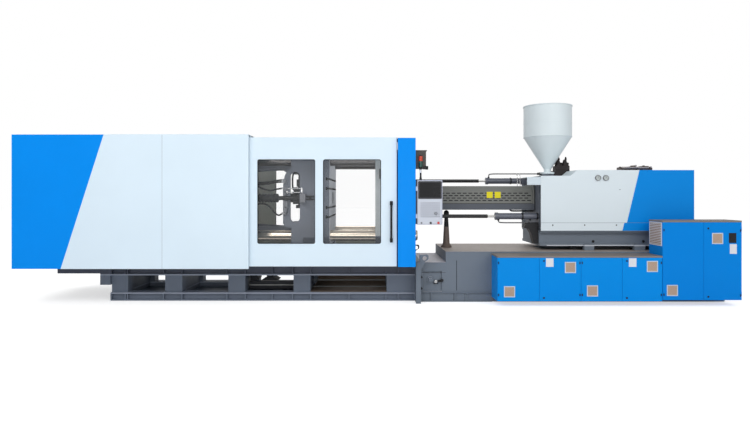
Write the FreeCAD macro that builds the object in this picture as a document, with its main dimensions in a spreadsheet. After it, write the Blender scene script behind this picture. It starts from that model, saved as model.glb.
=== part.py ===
"""Horizontal toggle injection moulding machine, about 10 m long, in millimetres.

+X runs from the clamp unit to the injection unit, -Y is the operator's side and
Z = 0 is the floor.  The origin lies under the middle of the machine.
"""
import FreeCAD, Part
import math
import os
import Sketcher
from FreeCAD import Placement, Rotation, Vector

doc = FreeCAD.newDocument("injection_moulding_machine")

# ---------------------------------------------------------------- driving sizes
SIZES = {
    # whole machine
    "left_end": -5114, "right_end": 5114, "guard_side": 1120, "axis_height": 1522,
    # clamp base
    "base_left": -3948, "base_right": 568, "base_side": 651, "base_web": 600, "base_top": 575,
    "base_plate": 20, "base_low_beam": 122, "base_high_beam": 375, "base_channel": 430,
    "base_floor": 40, "cantilever_left": -4732, "cantilever_low": 403,
    "window_left": -3706, "window_right": 148,
    # base joint and injection base
    "flange_right": 637, "flange_side": 891, "flange_top": 602,
    "bed_side": 722, "bed_step": 577, "bed_top": 735, "bed_step_end": 1016,
    # platens and tie bars
    "platen_half": 710, "bar_spacing": 1120, "bar_radius": 80, "bar_left": -3520,
    "fixed_face": -20, "fixed_back": 400, "moving_face": -696, "moving_back": -1088,
    "beam_back": -1375, "beam_side": 510, "beam_inner": 390, "beam_outer": 590,
    "web_back": -1379, "web_thick": 62, "tail_front": -2640, "tail_back": -3010,
    "slot_pitch": 140, "slot_mouth": 28, "slot_bottom": 46,
    # toggle
    "pivot_height": 500, "platen_pivot": -1470, "tail_pivot": -2517, "rear_link": 430,
    "front_link": 620, "pin_radius": 45, "link_eye": 82,
    # guards and doors
    "guard_right": -1799, "guard_low": 530, "guard_high": 2413, "guard_seam": -3007,
    "blue_top": -3825, "blue_bottom": -4427, "panel_depth": 42, "skin": 4,
    "door_left": -1835, "door_right": 281, "door_low": 559, "door_high": 2379,
    "door_front": -1065, "door_depth": 38, "pane_low": 877, "pane_high": 2069,
    "pane_one_left": -1685, "pane_one_right": -869, "pane_two_left": -758, "pane_two_right": 60,
    "pane_corner": 28,
    "column_left": 297, "column_right": 545, "column_low": 558, "column_high": 2367,
    # injection unit
    "slide_left": 2458, "slide_right": 4725, "slide_low": 801, "slide_high": 1022,
    "cover_left": 2460, "cover_right": 4757, "cover_side": 560, "cover_low": 1032,
    "cover_high": 1941, "cover_step": 1855, "barrel_radius": 118, "shell_radius": 186,
    "shell_left": 690, "shell_right": 2436, "hopper_x": 2728, "hopper_radius": 371,
    "hopper_top": 2980, "hopper_skirt": 2486, "hopper_neck": 1978,
    "carriage_reach": 375, "carriage_rise": 279, "carriage_tube": 48, "carriage_rod": 18,
    "support_x": 1113,
    # electrical cabinets
    "low_front": -1120, "low_left": 1690, "low_right": 4001, "low_bottom": 74, "low_top": 705,
    "tall_left": 4004, "tall_bottom": 90, "tall_top": 1201,
    # operator's panel and lamp
    "console_left": 569, "console_right": 920, "console_low": 1150, "console_high": 1776,
}


def words(value):
    """The sheet formula of a size, or a plain number as text."""
    return value.formula if isinstance(value, Size) else "%.9g" % value


class Size(float):
    """A length that remembers the sheet formula it was worked out from."""

    def __new__(cls, value, formula):
        size = super().__new__(cls, value)
        size.formula = formula
        return size

    def __add__(self, other):
        return Size(float(self) + float(other), "(%s + %s)" % (self.formula, words(other)))

    def __radd__(self, other):
        return Size(float(other) + float(self), "(%s + %s)" % (words(other), self.formula))

    def __sub__(self, other):
        return Size(float(self) - float(other), "(%s - %s)" % (self.formula, words(other)))

    def __rsub__(self, other):
        return Size(float(other) - float(self), "(%s - %s)" % (words(other), self.formula))

    def __mul__(self, other):
        return Size(float(self) * float(other), "(%s * %s)" % (self.formula, words(other)))

    def __rmul__(self, other):
        return self * other

    def __truediv__(self, other):
        return Size(float(self) / float(other), "(%s / %s)" % (self.formula, words(other)))

    def __neg__(self):
        return Size(-float(self), "(0 - %s)" % self.formula)


class Dimensions:
    """The spreadsheet of driving sizes, read as attributes."""

    def __init__(self, sizes):
        self.sheet = doc.addObject("Spreadsheet::Sheet", "Dims")
        for row, (alias, value) in enumerate(sizes.items(), start=1):
            self.sheet.set("A%d" % row, alias)
            self.sheet.set("B%d" % row, "%g" % value)
            self.sheet.setAlias("B%d" % row, alias)
            setattr(self, alias, Size(value, "Dims." + alias))
        self.sheet.recompute()


d = Dimensions(SIZES)
NODES = {}
X, Y, Z = Vector(1, 0, 0), Vector(0, 1, 0), Vector(0, 0, 1)
TURNS = {"x": Rotation(Y, 90), "y": Rotation(X, -90), "z": Rotation()}
AXES = {"x": 0, "y": 1, "z": 2}


# ---------------------------------------------------------------- building helpers
def bind(obj, prop, value):
    obj.setExpression(prop, words(value))


def place(obj, x, y, z):
    bind(obj, ".Placement.Base.x", x)
    bind(obj, ".Placement.Base.y", y)
    bind(obj, ".Placement.Base.z", z)
    obj.recompute()
    return obj


def box(x, y, z, name="Block"):
    """A block between the low and high corner values of x, y and z."""
    block = doc.addObject("Part::Box", name)
    bind(block, "Length", x[1] - x[0])
    bind(block, "Width", y[1] - y[0])
    bind(block, "Height", z[1] - z[0])
    return place(block, x[0], y[0], z[0])


def bar(axis, start, end, side, radius, name="Round"):
    """A round bar along an axis from start to end, its centre at the two side values."""
    rod = doc.addObject("Part::Cylinder", name)
    bind(rod, "Radius", radius)
    bind(rod, "Height", end - start)
    rod.Placement.Rotation = TURNS[axis]
    centre = list(side)
    centre.insert(AXES[axis], start)
    return place(rod, *centre)


def cut(base, *tools):
    """base with every tool taken out of it."""
    tool = tools[0] if len(tools) == 1 else fuse(*tools, refine=False)
    result = doc.addObject("Part::Cut", "Cut")
    result.Base, result.Tool = base, tool
    result.recompute()
    if result.Shape.Volume > base.Shape.Volume - 1:
        raise RuntimeError("a cut in %s took nothing away" % base.Name)
    return result


def fuse(*parts, refine=True):
    """All parts as one solid."""
    result = doc.addObject("Part::MultiFuse", "Fusion")
    result.Shapes, result.Refine = list(parts), refine
    result.recompute()
    return result


def group(*parts):
    """Alike pieces that stay separate solids of one node."""
    result = doc.addObject("Part::Compound", "Group")
    result.Links = list(parts)
    result.recompute()
    return result


def mirrored(part):
    """The same piece on the other side of the machine's centre plane."""
    result = doc.addObject("Part::Mirroring", "Mirror")
    result.Source, result.Normal = part, Y
    result.recompute()
    return result


def node(name, part):
    """Give a finished piece its own name."""
    part.Label = name
    NODES[name] = part
    return part


def sketch(body, plane, offset, loops):
    """A sketch on one of the body's planes, each loop a list of points or a (u, v, radius)."""
    drawing = body.newObject("Sketcher::SketchObject", "Profile")
    support = [item for item in body.Origin.OriginFeatures if item.Role == plane + "_Plane"][0]
    drawing.AttachmentSupport = [(support, "")]
    drawing.MapMode = "FlatFace"
    bind(drawing, ".AttachmentOffset.Base.z", offset)
    for loop in loops:
        first = drawing.GeometryCount
        if isinstance(loop, tuple):
            u, v, radius = loop
            drawing.addGeometry(Part.Circle(Vector(u, v, 0), Z, radius))
            pin_down(drawing, first, 3, u, v)
            row = drawing.addConstraint(Sketcher.Constraint("Radius", first, float(radius)))
            bind(drawing, "Constraints[%d]" % row, radius)
            continue
        count = len(loop)
        for i, (u, v) in enumerate(loop):
            u2, v2 = loop[(i + 1) % count]
            drawing.addGeometry(Part.LineSegment(Vector(u, v, 0), Vector(u2, v2, 0)))
        for i in range(count):
            following = first + (i + 1) % count
            drawing.addConstraint(Sketcher.Constraint("Coincident", first + i, 2, following, 1))
        for i, (u, v) in enumerate(loop):
            pin_down(drawing, first + i, 1, u, v)
    drawing.recompute()
    return drawing


def pin_down(drawing, line, end, u, v):
    """Tie a sketch point to the sheet by its two distances from the origin."""
    for kind, value in (("DistanceX", u), ("DistanceY", v)):
        rule = Sketcher.Constraint(kind, -1, 1, line, end, float(value))
        row = drawing.addConstraint(rule)
        if isinstance(value, Size):
            bind(drawing, "Constraints[%d]" % row, value)


def pad(body, plane, low, high, *loops):
    """Add material between two heights above a plane (XZ counts along +Y)."""
    offset = -high if plane == "XZ" else low
    feature_sketch = sketch(body, plane, offset, loops)
    feature = body.newObject("PartDesign::Pad", "Pad")
    feature.Profile = feature_sketch
    bind(feature, "Length", high - low)
    feature.recompute()
    return feature


def pocket(body, plane, low, high, *loops):
    """Take material away between two heights above a plane (XZ counts along +Y)."""
    before = body.Tip.Shape.Volume
    offset = -low if plane == "XZ" else high
    feature_sketch = sketch(body, plane, offset, loops)
    feature = body.newObject("PartDesign::Pocket", "Pocket")
    feature.Profile = feature_sketch
    bind(feature, "Length", high - low)
    feature.recompute()
    if feature.Shape.Volume > before - 1:
        raise RuntimeError("a pocket in %s took nothing away" % body.Label)
    return feature


def prism(name, plane, low, high, *loops):
    """A new body padded from a drawn outline."""
    body = doc.addObject("PartDesign::Body", name)
    pad(body, plane, low, high, *loops)
    return body


def rect(u0, u1, v0, v1):
    return [(u0, v0), (u1, v0), (u1, v1), (u0, v1)]


def revolve(name, axis, start, side, outline):
    """A turned solid: outline points are (distance along the axis, radius)."""
    body = doc.addObject("PartDesign::Body", name)
    drawing = sketch(body, "XY", 0, [outline])
    feature = body.newObject("PartDesign::Revolution", "Turned")
    feature.Profile = drawing
    feature.ReferenceAxis = (drawing, ["H_Axis"])
    feature.Angle = 360
    feature.recompute()
    body.Placement.Rotation = {"x": Rotation(), "y": Rotation(Z, 90), "z": Rotation(Y, -90)}[axis]
    centre = list(side)
    centre.insert(AXES[axis], start)
    return place(body, *centre)


def soften(part, radius, choose):
    """Round the edges that choose picks by their middle point and direction."""
    doc.recompute([part])
    rounded = doc.addObject("Part::Fillet", "Rounded")
    rounded.Base = part
    edges = []
    for number, edge in enumerate(part.Shape.Edges, start=1):
        ends = edge.Vertexes
        if len(ends) == 2 and choose(edge.CenterOfMass, ends[1].Point - ends[0].Point):
            edges.append((number, float(radius), float(radius)))
    rounded.Edges = edges
    rounded.recompute()
    return rounded


def along(direction, axis):
    """Whether an edge runs along an axis."""
    return abs(abs(direction.normalize().dot(axis)) - 1) < 1e-6


# ---------------------------------------------------------------- clamp base
def make_clamp_base():
    """Two I-section side frames joined into one weldment, open in the middle."""
    side, web, plate = d.base_side, d.base_web, d.base_plate
    low, high, top = d.base_low_beam, d.base_high_beam, d.base_top
    half = [(side, 0), (side, plate), (web, plate), (web, low - plate), (side, low - plate),
            (side, low), (web, low), (web, high), (side, high), (side, high + plate),
            (web, high + plate), (web, top - plate), (side, top - plate), (side, top)]
    section = half + [(-y, z) for y, z in reversed(half)]
    body = prism("ClampBase", "YZ", d.base_left, d.base_right, section)
    for left, right in WINDOWS:
        pocket(body, "XZ", -side - 1, side + 1, rect(left, right, low, high))
    for left, right in CHANNELS:
        pocket(body, "XY", d.base_floor, top + 1,
               rect(left, right, -d.base_channel, d.base_channel))
    for edge in (-1, 1):
        ribs = [rect(x, x + plate, bottom, bottom + height)
                for x in RIBS for bottom, height in ((plate, low - plate * 2),
                                                     (high + plate, top - high - plate * 2))]
        outer = (-side, -web) if edge < 0 else (web, side)
        pad(body, "XZ", outer[0], outer[1], *ribs)
    beam = rect(d.cantilever_left, d.base_left, d.cantilever_low, d.guard_low)
    pad(body, "XZ", -side, side, beam)
    bracket = [(d.base_left - 151, d.cantilever_low), (d.base_left - 151, 234),
               (d.base_left, 234), (d.base_left, d.cantilever_low)]
    pad(body, "XZ", -side, side, bracket)
    return body


WINDOWS = [(d.window_left, -3154), (-2899, -2212), (-1960, -1240), (-988, d.window_right)]
CHANNELS = [(d.base_left + 160, -3100), (-2950, -2160), (-2010, -1190), (-1040, 200)]
RIBS = [d.base_left, -3740, d.window_left, -3174, -2899, -2232, -1960, -1560, -1260, -988,
        -420, d.window_right - 20, 310, d.base_right - 20]


# ---------------------------------------------------------------- platens and tie bars
def bar_places():
    half = d.bar_spacing / 2
    return [(y, d.axis_height + z) for y in (-half, half) for z in (-half, half)]


def platen(name, back, face, holes):
    """A square platen with its foot and the bored holes for the tie bars."""
    half, centre = d.platen_half, d.axis_height
    outline = [(-half, centre - half + 130), (-half + 120, centre - half + 10),
               (-half + 120, d.base_top), (-d.base_channel - 30, d.base_top),
               (-d.base_channel + 40, centre - half), (d.base_channel - 40, centre - half),
               (d.base_channel + 30, d.base_top), (half - 120, d.base_top),
               (half - 120, centre - half + 10), (half, centre - half + 130),
               (half, centre + half - 60), (half - 60, centre + half),
               (-half + 60, centre + half), (-half, centre + half - 60)]
    body = prism(name, "YZ", back, face, outline, *holes)
    return body


def cut_slots(body, face, toward):
    """Horizontal T-slots across a mould face, symmetric about the machine axis."""
    for step in (-2, -1, 1, 2):
        centre = d.axis_height + step * d.slot_pitch
        mouth, bottom = d.slot_mouth / 2, d.slot_bottom / 2
        outline = [(face + toward, centre - mouth), (face - toward * 30, centre - mouth),
                   (face - toward * 30, centre - bottom), (face - toward * 55, centre - bottom),
                   (face - toward * 55, centre + bottom), (face - toward * 30, centre + bottom),
                   (face - toward * 30, centre + mouth), (face + toward, centre + mouth)]
        pocket(body, "XZ", -d.platen_half - 1, d.platen_half + 1, outline)


def make_fixed_platen():
    holes = [(y, z, d.bar_radius) for y, z in bar_places()]
    holes.append((Size(0, "0"), d.axis_height, 100))
    body = platen("FixedPlaten", d.fixed_face, d.fixed_back, holes)
    cut_slots(body, d.fixed_face, -1)
    return body


def lug_pairs(low, high, pivot, spans):
    """Toggle lugs: plates with a round eye, above and below the axis."""
    lugs = []
    for sign in (-1, 1):
        centre = d.axis_height + sign * d.pivot_height
        for span in spans:
            left, right = min(low, high), max(low, high)
            plate = box((left, right), span, (centre - d.link_eye, centre + d.link_eye))
            eye = bar("y", span[0], span[1], (pivot, centre), d.link_eye)
            lugs += [plate, eye]
    return lugs


REAR_PLANES = [(-250, -190), (190, 250)]
FRONT_PLANES = [(-330, -270), (270, 330)]
TAIL_LUGS = [(-302, -258), (258, 302)]
PLATEN_LUGS = [(-400, -340), (340, 400)]


def pins(at, spans):
    """Hinge pins fixed in the lugs, each reaching through its link's eye."""
    made = []
    for sign in (-1, 1):
        centre = d.axis_height + sign * d.pivot_height
        for low, high in spans:
            made.append(bar("y", low, high, (at, centre), d.pin_radius))
    return made


def make_moving_platen():
    """Mould plate, two rear beams with the toggle lugs, and the operator's side web."""
    half, centre, clear = d.platen_half, d.axis_height, d.bar_radius + 6
    holes = [(y, z, d.bar_radius + 0.5) for y, z in bar_places()]
    holes.append((Size(0, "0"), centre, 110))
    body = platen("MovingPlaten", d.moving_back, d.moving_face, holes)
    cut_slots(body, d.moving_face, 1)
    for low, high in ((-d.beam_outer, -d.beam_inner), (d.beam_inner, d.beam_outer)):
        beam = rect(-d.beam_side, d.beam_side, centre + low, centre + high)
        pad(body, "YZ", d.beam_back, d.moving_back, beam)
    for y, z in bar_places():
        pocket(body, "YZ", d.beam_back - 1, d.moving_back, (y, z, clear))
    web = [(d.moving_back, centre - 432), (d.web_back + 45, centre - 432),
           (d.web_back, centre - 375), (d.web_back, centre + 160),
           (d.web_back + 8, centre + 258), (d.web_back + 30, centre + 343),
           (d.web_back + 70, centre + 408), (d.web_back + 130, centre + 453),
           (d.moving_back, centre + 453)]
    pad(body, "XZ", -half, -half + d.web_thick, web)
    for loop in web_window():
        pocket(body, "XZ", -half - 1, -half + d.web_thick + 1, loop)
    lugs = lug_pairs(d.platen_pivot, d.beam_back, d.platen_pivot, PLATEN_LUGS)
    stubs = pins(d.platen_pivot, [(-400, -272), (272, 400)])
    return fuse(body, *lugs, *stubs)


def web_window():
    """Outlines of the round-ended opening through the moving platen's side web."""
    low, high, radius = d.axis_height - 286, d.axis_height + 316, 71
    middle = d.web_back + 105 + radius
    return [rect(middle - radius, middle + radius, low, high),
            (middle, low, radius), (middle, high, radius)]


def make_tail_platen():
    holes = [(y, z, d.bar_radius + 0.5) for y, z in bar_places()]
    holes.append((Size(0, "0"), d.axis_height, 70))
    body = platen("TailPlaten", d.tail_back, d.tail_front, holes)
    lugs = lug_pairs(d.tail_front, d.tail_pivot, d.tail_pivot, TAIL_LUGS)
    stubs = pins(d.tail_pivot, [(-302, -192), (192, 302)])
    return fuse(body, *lugs, *stubs)


def make_tie_bars():
    """Ground bars with a reduced threaded tail and a collar against the fixed platen."""
    bars = []
    for y, z in bar_places():
        outline = [(0, 0), (0, d.bar_radius - 8), (30, d.bar_radius - 0.05),
                   (d.fixed_back - d.bar_left + 190, d.bar_radius - 0.05),
                   (d.fixed_back - d.bar_left + 210, d.bar_radius - 12),
                   (d.fixed_back - d.bar_left + 210, 0)]
        bars.append(revolve("TieBar", "x", d.bar_left, (y, z), outline))
    return group(*bars)


def make_nuts(name, left, right, clearance, across):
    """Hexagon nuts on the four tie bars."""
    nuts = []
    for y, z in bar_places():
        prism_part = doc.addObject("Part::Prism", "Nut")
        prism_part.Polygon = 6
        bind(prism_part, "Circumradius", across)
        bind(prism_part, "Height", right - left)
        prism_part.Placement.Rotation = TURNS["x"]
        place(prism_part, left, y, z)
        bore = bar("x", left - 1, right + 1, (y, z), d.bar_radius + clearance)
        nuts.append(cut(prism_part, bore))
    return group(*nuts)


# ---------------------------------------------------------------- toggle
def link_angle(offset, length):
    return math.degrees(math.asin(offset / length))


def link(name, planes, start, angle, length, sign):
    """A pair of flat links with an eye at each end, turned about their first eye."""
    radius = d.link_eye - 12
    pieces = []
    for low, high in planes:
        web = box((0, length), (low, high), (-radius * 0.62, radius * 0.62))
        ends = [bar("y", low, high, (at, 0), radius) for at in (0, length)]
        pieces.append(fuse(web, *ends))
    bores = [bar("y", planes[0][0] - 1, planes[1][1] + 1, (at, 0), d.pin_radius + 0.06)
             for at in (0, length)]
    result = group(*[cut(piece, *bores) for piece in pieces])
    result.Placement.Rotation = Rotation(Y, angle)
    return place(result, start, 0, d.axis_height + sign * d.pivot_height)


def make_toggle():
    """Upper and lower links, drawn in the locked position with the pins nearly in line."""
    drop = 37.5
    rear = link_angle(drop, d.rear_link)
    front = link_angle(drop, d.front_link)
    for side, sign in (("lower", -1), ("upper", 1)):
        node(side + "_rear_links",
             link("RearLink", REAR_PLANES, d.tail_pivot, sign * rear, d.rear_link, sign))
        node(side + "_front_links",
             link("FrontLink", FRONT_PLANES, d.platen_pivot, 180 - sign * front,
                  d.front_link, sign))


def make_crosshead():
    """The yoke that the clamp rod pushes, running on two guide rods."""
    centre = d.axis_height
    outline = [(-120, centre - 175), (120, centre - 175), (120, centre + 175),
               (-120, centre + 175)]
    body = prism("Crosshead", "YZ", CROSSHEAD_LEFT, CROSSHEAD_LEFT + 170, outline)
    return body


CROSSHEAD_LEFT = -2330


def make_clamp_cylinder():
    """Bolted flange, tube and end cap of the hydraulic clamp cylinder."""
    back = d.tail_back
    outline = [(0, 61), (0, 240), (-60, 240), (-60, 150), (-760, 150), (-760, 185),
               (-860, 185), (-860, 0), (-800, 0), (-800, 61)]
    tube = revolve("ClampCylinder", "x", back, (0, d.axis_height), outline)
    ports = [bar("z", d.axis_height + 150 - 20, d.axis_height + 225, (back + at, 0), 34)
             for at in (-120, -700)]
    return fuse(tube, *ports)


def make_clamp_rod():
    """Piston, rod and the nut that holds it in the crosshead."""
    start = d.tail_back - 500
    reach = CROSSHEAD_LEFT - start
    outline = [(0, 0), (0, 60.9), (90, 60.9), (90, 45), (reach, 45), (reach, 0)]
    return revolve("ClampRod", "x", start, (0, d.axis_height), outline)


# ---------------------------------------------------------------- ejector
def make_ejector_cylinder():
    """Flange on the platen's back, tube, end cap and the gland that guides the rod."""
    outline = [(0, 22.06), (0, 150), (-30, 150), (-30, 72), (-330, 72), (-330, 84), (-390, 84),
               (-390, 0), (-360, 0), (-360, 31), (-20, 31), (-20, 22.06)]
    return revolve("EjectorCylinder", "x", d.moving_back, (0, d.axis_height), outline)


def make_ejector_rod():
    """Piston, rod and the ejector disc in the platen's bore."""
    start = d.moving_back - 300
    reach = 410
    outline = [(0, 0), (0, 30.9), (40, 30.9), (40, 22), (reach, 22), (reach, 90),
               (reach + 50, 90), (reach + 50, 0)]
    return revolve("EjectorRod", "x", start, (0, d.axis_height), outline)


# ---------------------------------------------------------------- guards and doors
def hollow_back(body, front, depth, inner):
    """Open a panel's back, leaving its skin and returned edges."""
    pocket(body, "XZ", front + d.skin, front + depth, inner)
    return body


def make_guard_fronts():
    """Blue slanted panel and white panel, parted at a slanted line, with a seam rib."""
    low, high, front = d.guard_low, d.guard_high, -d.guard_side
    edge = 6
    blue = prism("GuardBlue", "XZ", front, front + d.panel_depth,
                 [(d.left_end, low), (d.blue_bottom, low), (d.blue_top, high),
                  (d.left_end, high)])
    hollow_back(blue, front, d.panel_depth,
                [(d.left_end + edge, low + edge), (d.blue_bottom - edge, low + edge),
                 (d.blue_top - edge, high - edge), (d.left_end + edge, high - edge)])
    white = prism("GuardWhite", "XZ", front, front + d.panel_depth,
                  [(d.blue_bottom, low), (d.guard_right, low), (d.guard_right, high),
                   (d.blue_top, high)])
    hollow_back(white, front, d.panel_depth,
                [(d.blue_bottom + edge, low + edge), (d.guard_seam - edge, low + edge),
                 (d.guard_seam - edge, high - edge), (d.blue_top + edge, high - edge)])
    hollow_back(white, front, d.panel_depth,
                rect(d.guard_seam + edge, d.guard_right - edge, low + edge, high - edge))
    return blue, white


FRONT_PANES = [(d.pane_one_left, d.pane_one_right), (d.pane_two_left, d.pane_two_right)]
REAR_PANES = [(d.door_left + 45, -1100), (-990, d.pane_two_right + 60)]
HANGER_PLACES = [-1700, 0]


def make_door(panes):
    """A sliding leaf with round-cornered windows and two hooks over the upper rail."""
    front, back = d.door_front, d.door_front + d.door_depth
    windows = [rect(left, right, d.pane_low, d.pane_high) for left, right in panes]
    leaf = prism("Door", "XZ", front, back,
                 rect(d.door_left, d.door_right, d.door_low, d.door_high), *windows)
    inside = (d.pane_low - 1, d.pane_high + 1)
    leaf = soften(leaf, d.pane_corner, lambda middle, direction: (
        along(direction, Y) and inside[0] < middle.z < inside[1]))
    hooks = [box((x, x + 100), (back, back + 36), (d.door_high - 19.5, d.door_high - 8))
             for x in HANGER_PLACES]
    return fuse(leaf, *hooks)


def make_panes(panes):
    """Clear panes clipped behind the window openings."""
    back = d.door_front + d.door_depth
    lap = 20
    return group(*[box((left - lap, right + lap), (back, back + 6),
                       (d.pane_low - lap, d.pane_high + lap)) for left, right in panes])


def make_handle():
    """Round bar grip between two stand-offs."""
    grip_x, front = 204, d.door_front
    grip = bar("z", 904, 1477, (grip_x, front - 38), 15)
    feet = [bar("y", front - 38, front, (grip_x, z), 20) for z in (945, 1436)]
    return fuse(grip, *feet)


def make_door_rails():
    """Upper hanging rails and lower guide rails for both doors."""
    inner = -d.door_front - d.door_depth - 12
    rails = []
    for side in (-1, 1):
        y = (min(side * inner, side * (inner - 30)), max(side * inner, side * (inner - 30)))
        rails.append(box((-3760, d.column_left), y, (d.door_high - 60, d.door_high - 20)))
        rails.append(box((-3760, d.column_left), y, (d.door_low + 14, d.door_low + 44)))
    return group(*rails)


def make_guard_frame():
    """Welded square tubes, butted end to end: posts, long rails, cross members and feet."""
    tube, outer = 60, -d.door_front - d.door_depth - 42
    near = outer - tube
    left, middle, right = d.left_end + 40, -3700, d.column_right - tube
    low, top, rail = d.guard_low, d.guard_high - tube, d.door_high - tube
    foot, sill = d.base_top - tube, d.door_low
    posts = [(left, low, top), (middle, foot, top), (right, foot, rail)]
    beams = [(left, d.guard_right, top), (d.guard_right, right + tube, rail),
             (left + tube, middle, sill), (middle + tube, right, sill)]
    parts = []
    for side in (-1, 1):
        wide = span(side, near, outer)
        parts += [box((x, x + tube), wide, (z0, z1)) for x, z0, z1 in posts]
        parts += [box((x0, x1), wide, (z, z + tube)) for x0, x1, z in beams]
        parts += [box((x, x + tube), span(side, d.base_side, near), (foot, foot + tube))
                  for x in (middle, right)]
        parts.append(box((left + tube, -4600), span(side, 300, 360), (low, low + tube)))
    for x, z in ((left, low), (left, top), (middle, top), (right, rail)):
        parts.append(box((x, x + tube), (-near, near), (z, z + tube)))
    return group(*parts)


def make_roof():
    """Roof sheet over the clamp with folded edges, and the end sheet."""
    side = d.guard_side
    roof = box((d.left_end, d.guard_right), (-side, side), (d.guard_high, d.guard_high + d.skin))
    inner = side - d.panel_depth
    end = box((d.left_end, d.left_end + d.skin), (-inner, inner), (d.guard_low, d.guard_high))
    return group(roof, end)


def make_column():
    """Blue folded column beside the door."""
    front = -d.guard_side
    body = prism("Column", "XZ", front, front + 135,
                 rect(d.column_left, d.column_right, d.column_low, d.column_high))
    pocket(body, "XZ", front + d.skin, front + 135,
           rect(d.column_left + 6, d.column_right - 6, d.column_low + 6, d.column_high - 6))
    return body


# ---------------------------------------------------------------- base joint and injection base
def make_flanges():
    """Two bolted end plates and the lifting lugs welded to them."""
    side, top = d.flange_side, d.flange_top
    middle = d.base_right + 34
    left = box((d.base_right, middle), (-side, side), (0, top))
    right = box((middle, d.flange_right), (-side, side), (0, top))
    lugs = []
    for y in (-side + 20, side - 50):
        outline = [(d.flange_right, 470), (d.flange_right + 60, 602), (d.flange_right + 112, 640),
                   (d.flange_right + 112, 690), (d.flange_right + 96, 704),
                   (d.flange_right, 704)]
        hole = (d.flange_right + 56, 652, 32)
        lugs.append(prism("Lug", "XZ", y, y + 30, outline, hole))
    posts = [box((d.flange_right - 20, d.flange_right), (y, y + 30), (top, 704))
             for y in (-side + 20, side - 50)]
    return group(left, fuse(right, *lugs, *posts))


def make_flange_bolts():
    """Hexagon heads on the right flange plate, three up each side."""
    bolts = []
    for y in (-800, 800):
        for z in (205, 371, 530):
            head = doc.addObject("Part::Prism", "Bolt")
            head.Polygon = 6
            head.Circumradius = 21
            head.Height = 16
            head.Placement.Rotation = TURNS["x"]
            place(head, d.flange_right, y, z)
            shank = bar("x", d.flange_right + 16, d.flange_right + 30, (y, z), 11)
            bolts.append(fuse(head, shank))
    return group(*bolts)


def make_injection_base():
    """Stepped welded bed with a bottom rail, side panels between ribs and a pin boss."""
    side = d.bed_side
    outline = [(d.flange_right, 0), (d.right_end, 0), (d.right_end, d.bed_top),
               (d.bed_step_end, d.bed_top), (d.bed_step_end, d.bed_step),
               (d.flange_right, d.bed_step)]
    body = prism("InjectionBase", "XZ", -side, side, outline)
    panels = [(d.flange_right + 40, 960), (1060, 1230), (1270, 1640)]
    for sign in (-1, 1):
        skin = (-side - 1, -side + 25) if sign < 0 else (side - 25, side + 1)
        for index, (left, right) in enumerate(panels):
            top = d.bed_step - 130 if index == 0 else d.bed_top - 60
            pocket(body, "XZ", skin[0], skin[1], rect(left, right, 150, top))
    trough = rect(2560, 4640, -240, 240)
    pocket(body, "XY", 160, d.bed_top + 1, trough)
    bosses = [bar("y", *span, (790, 320), 48) for span in ((-side, -side + 40),)]
    pin = bar("y", -side - 36, -side + 25, (790, 320), 26)
    return fuse(body, *bosses, pin)


# ---------------------------------------------------------------- carriage
RAIL_SIDE = (290, 370)
SHOES = [(3117, 3264), (3869, 4031)]


def both_sides(make):
    """The piece that make gives for y spans on the front and on the rear side."""
    return [make(sign) for sign in (-1, 1)]


def span(sign, near, far):
    return (sign * near, sign * far) if sign > 0 else (-far, -near)


def make_carriage_rails():
    rails = both_sides(lambda sign: box((2990, 4400), span(sign, *RAIL_SIDE),
                                        (d.bed_top, d.bed_top + 34)))
    return group(*rails)


def make_carriage_base():
    """Slide base with its rail shoes, hold-down blocks and front cylinder bracket."""
    low, high = d.slide_low, d.slide_high
    side = 520
    section = [(-side, low), (-side, low + 40), (-side + 45, low + 40), (-side + 45, high - 30),
               (-side, high - 30), (-side, high), (-d.cover_side, high), (-d.cover_side, 1032)]
    section += [(-y, z) for y, z in reversed(section)]
    body = prism("CarriageBase", "YZ", d.slide_left, d.slide_right, section)
    for left, right in SHOES:
        for sign in (-1, 1):
            shoe = span(sign, 250, 410)
            pad(body, "YZ", left, right, rect(shoe[0], shoe[1], d.bed_top + 35, low))
            block = span(sign, 475, 548)
            pad(body, "YZ", left, right, rect(block[0], block[1], d.bed_top + 1, low + 34))
    nose = [(2241, 1068), (2310, 1052), (2352, 985), (2372, 900), (2395, 830),
            (d.slide_left, 830), (d.slide_left, 1150), (2330, 1140), (2262, 1120)]
    pad(body, "XZ", -430, -300, nose)
    return body


def make_barrel():
    """Heated barrel with its end cap and nozzle; the bore runs the whole length."""
    start = 205
    tip = 0
    outline = [(tip, 4), (tip, 24), (26, 40), (300, 40), (300, 66), (372, 66), (372, 96),
               (470, 96), (470, d.barrel_radius), (2940, d.barrel_radius), (2940, 55),
               (560, 55), (500, 10), (470, 4)]
    return revolve("Barrel", "x", start, (0, d.axis_height), outline)


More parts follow.
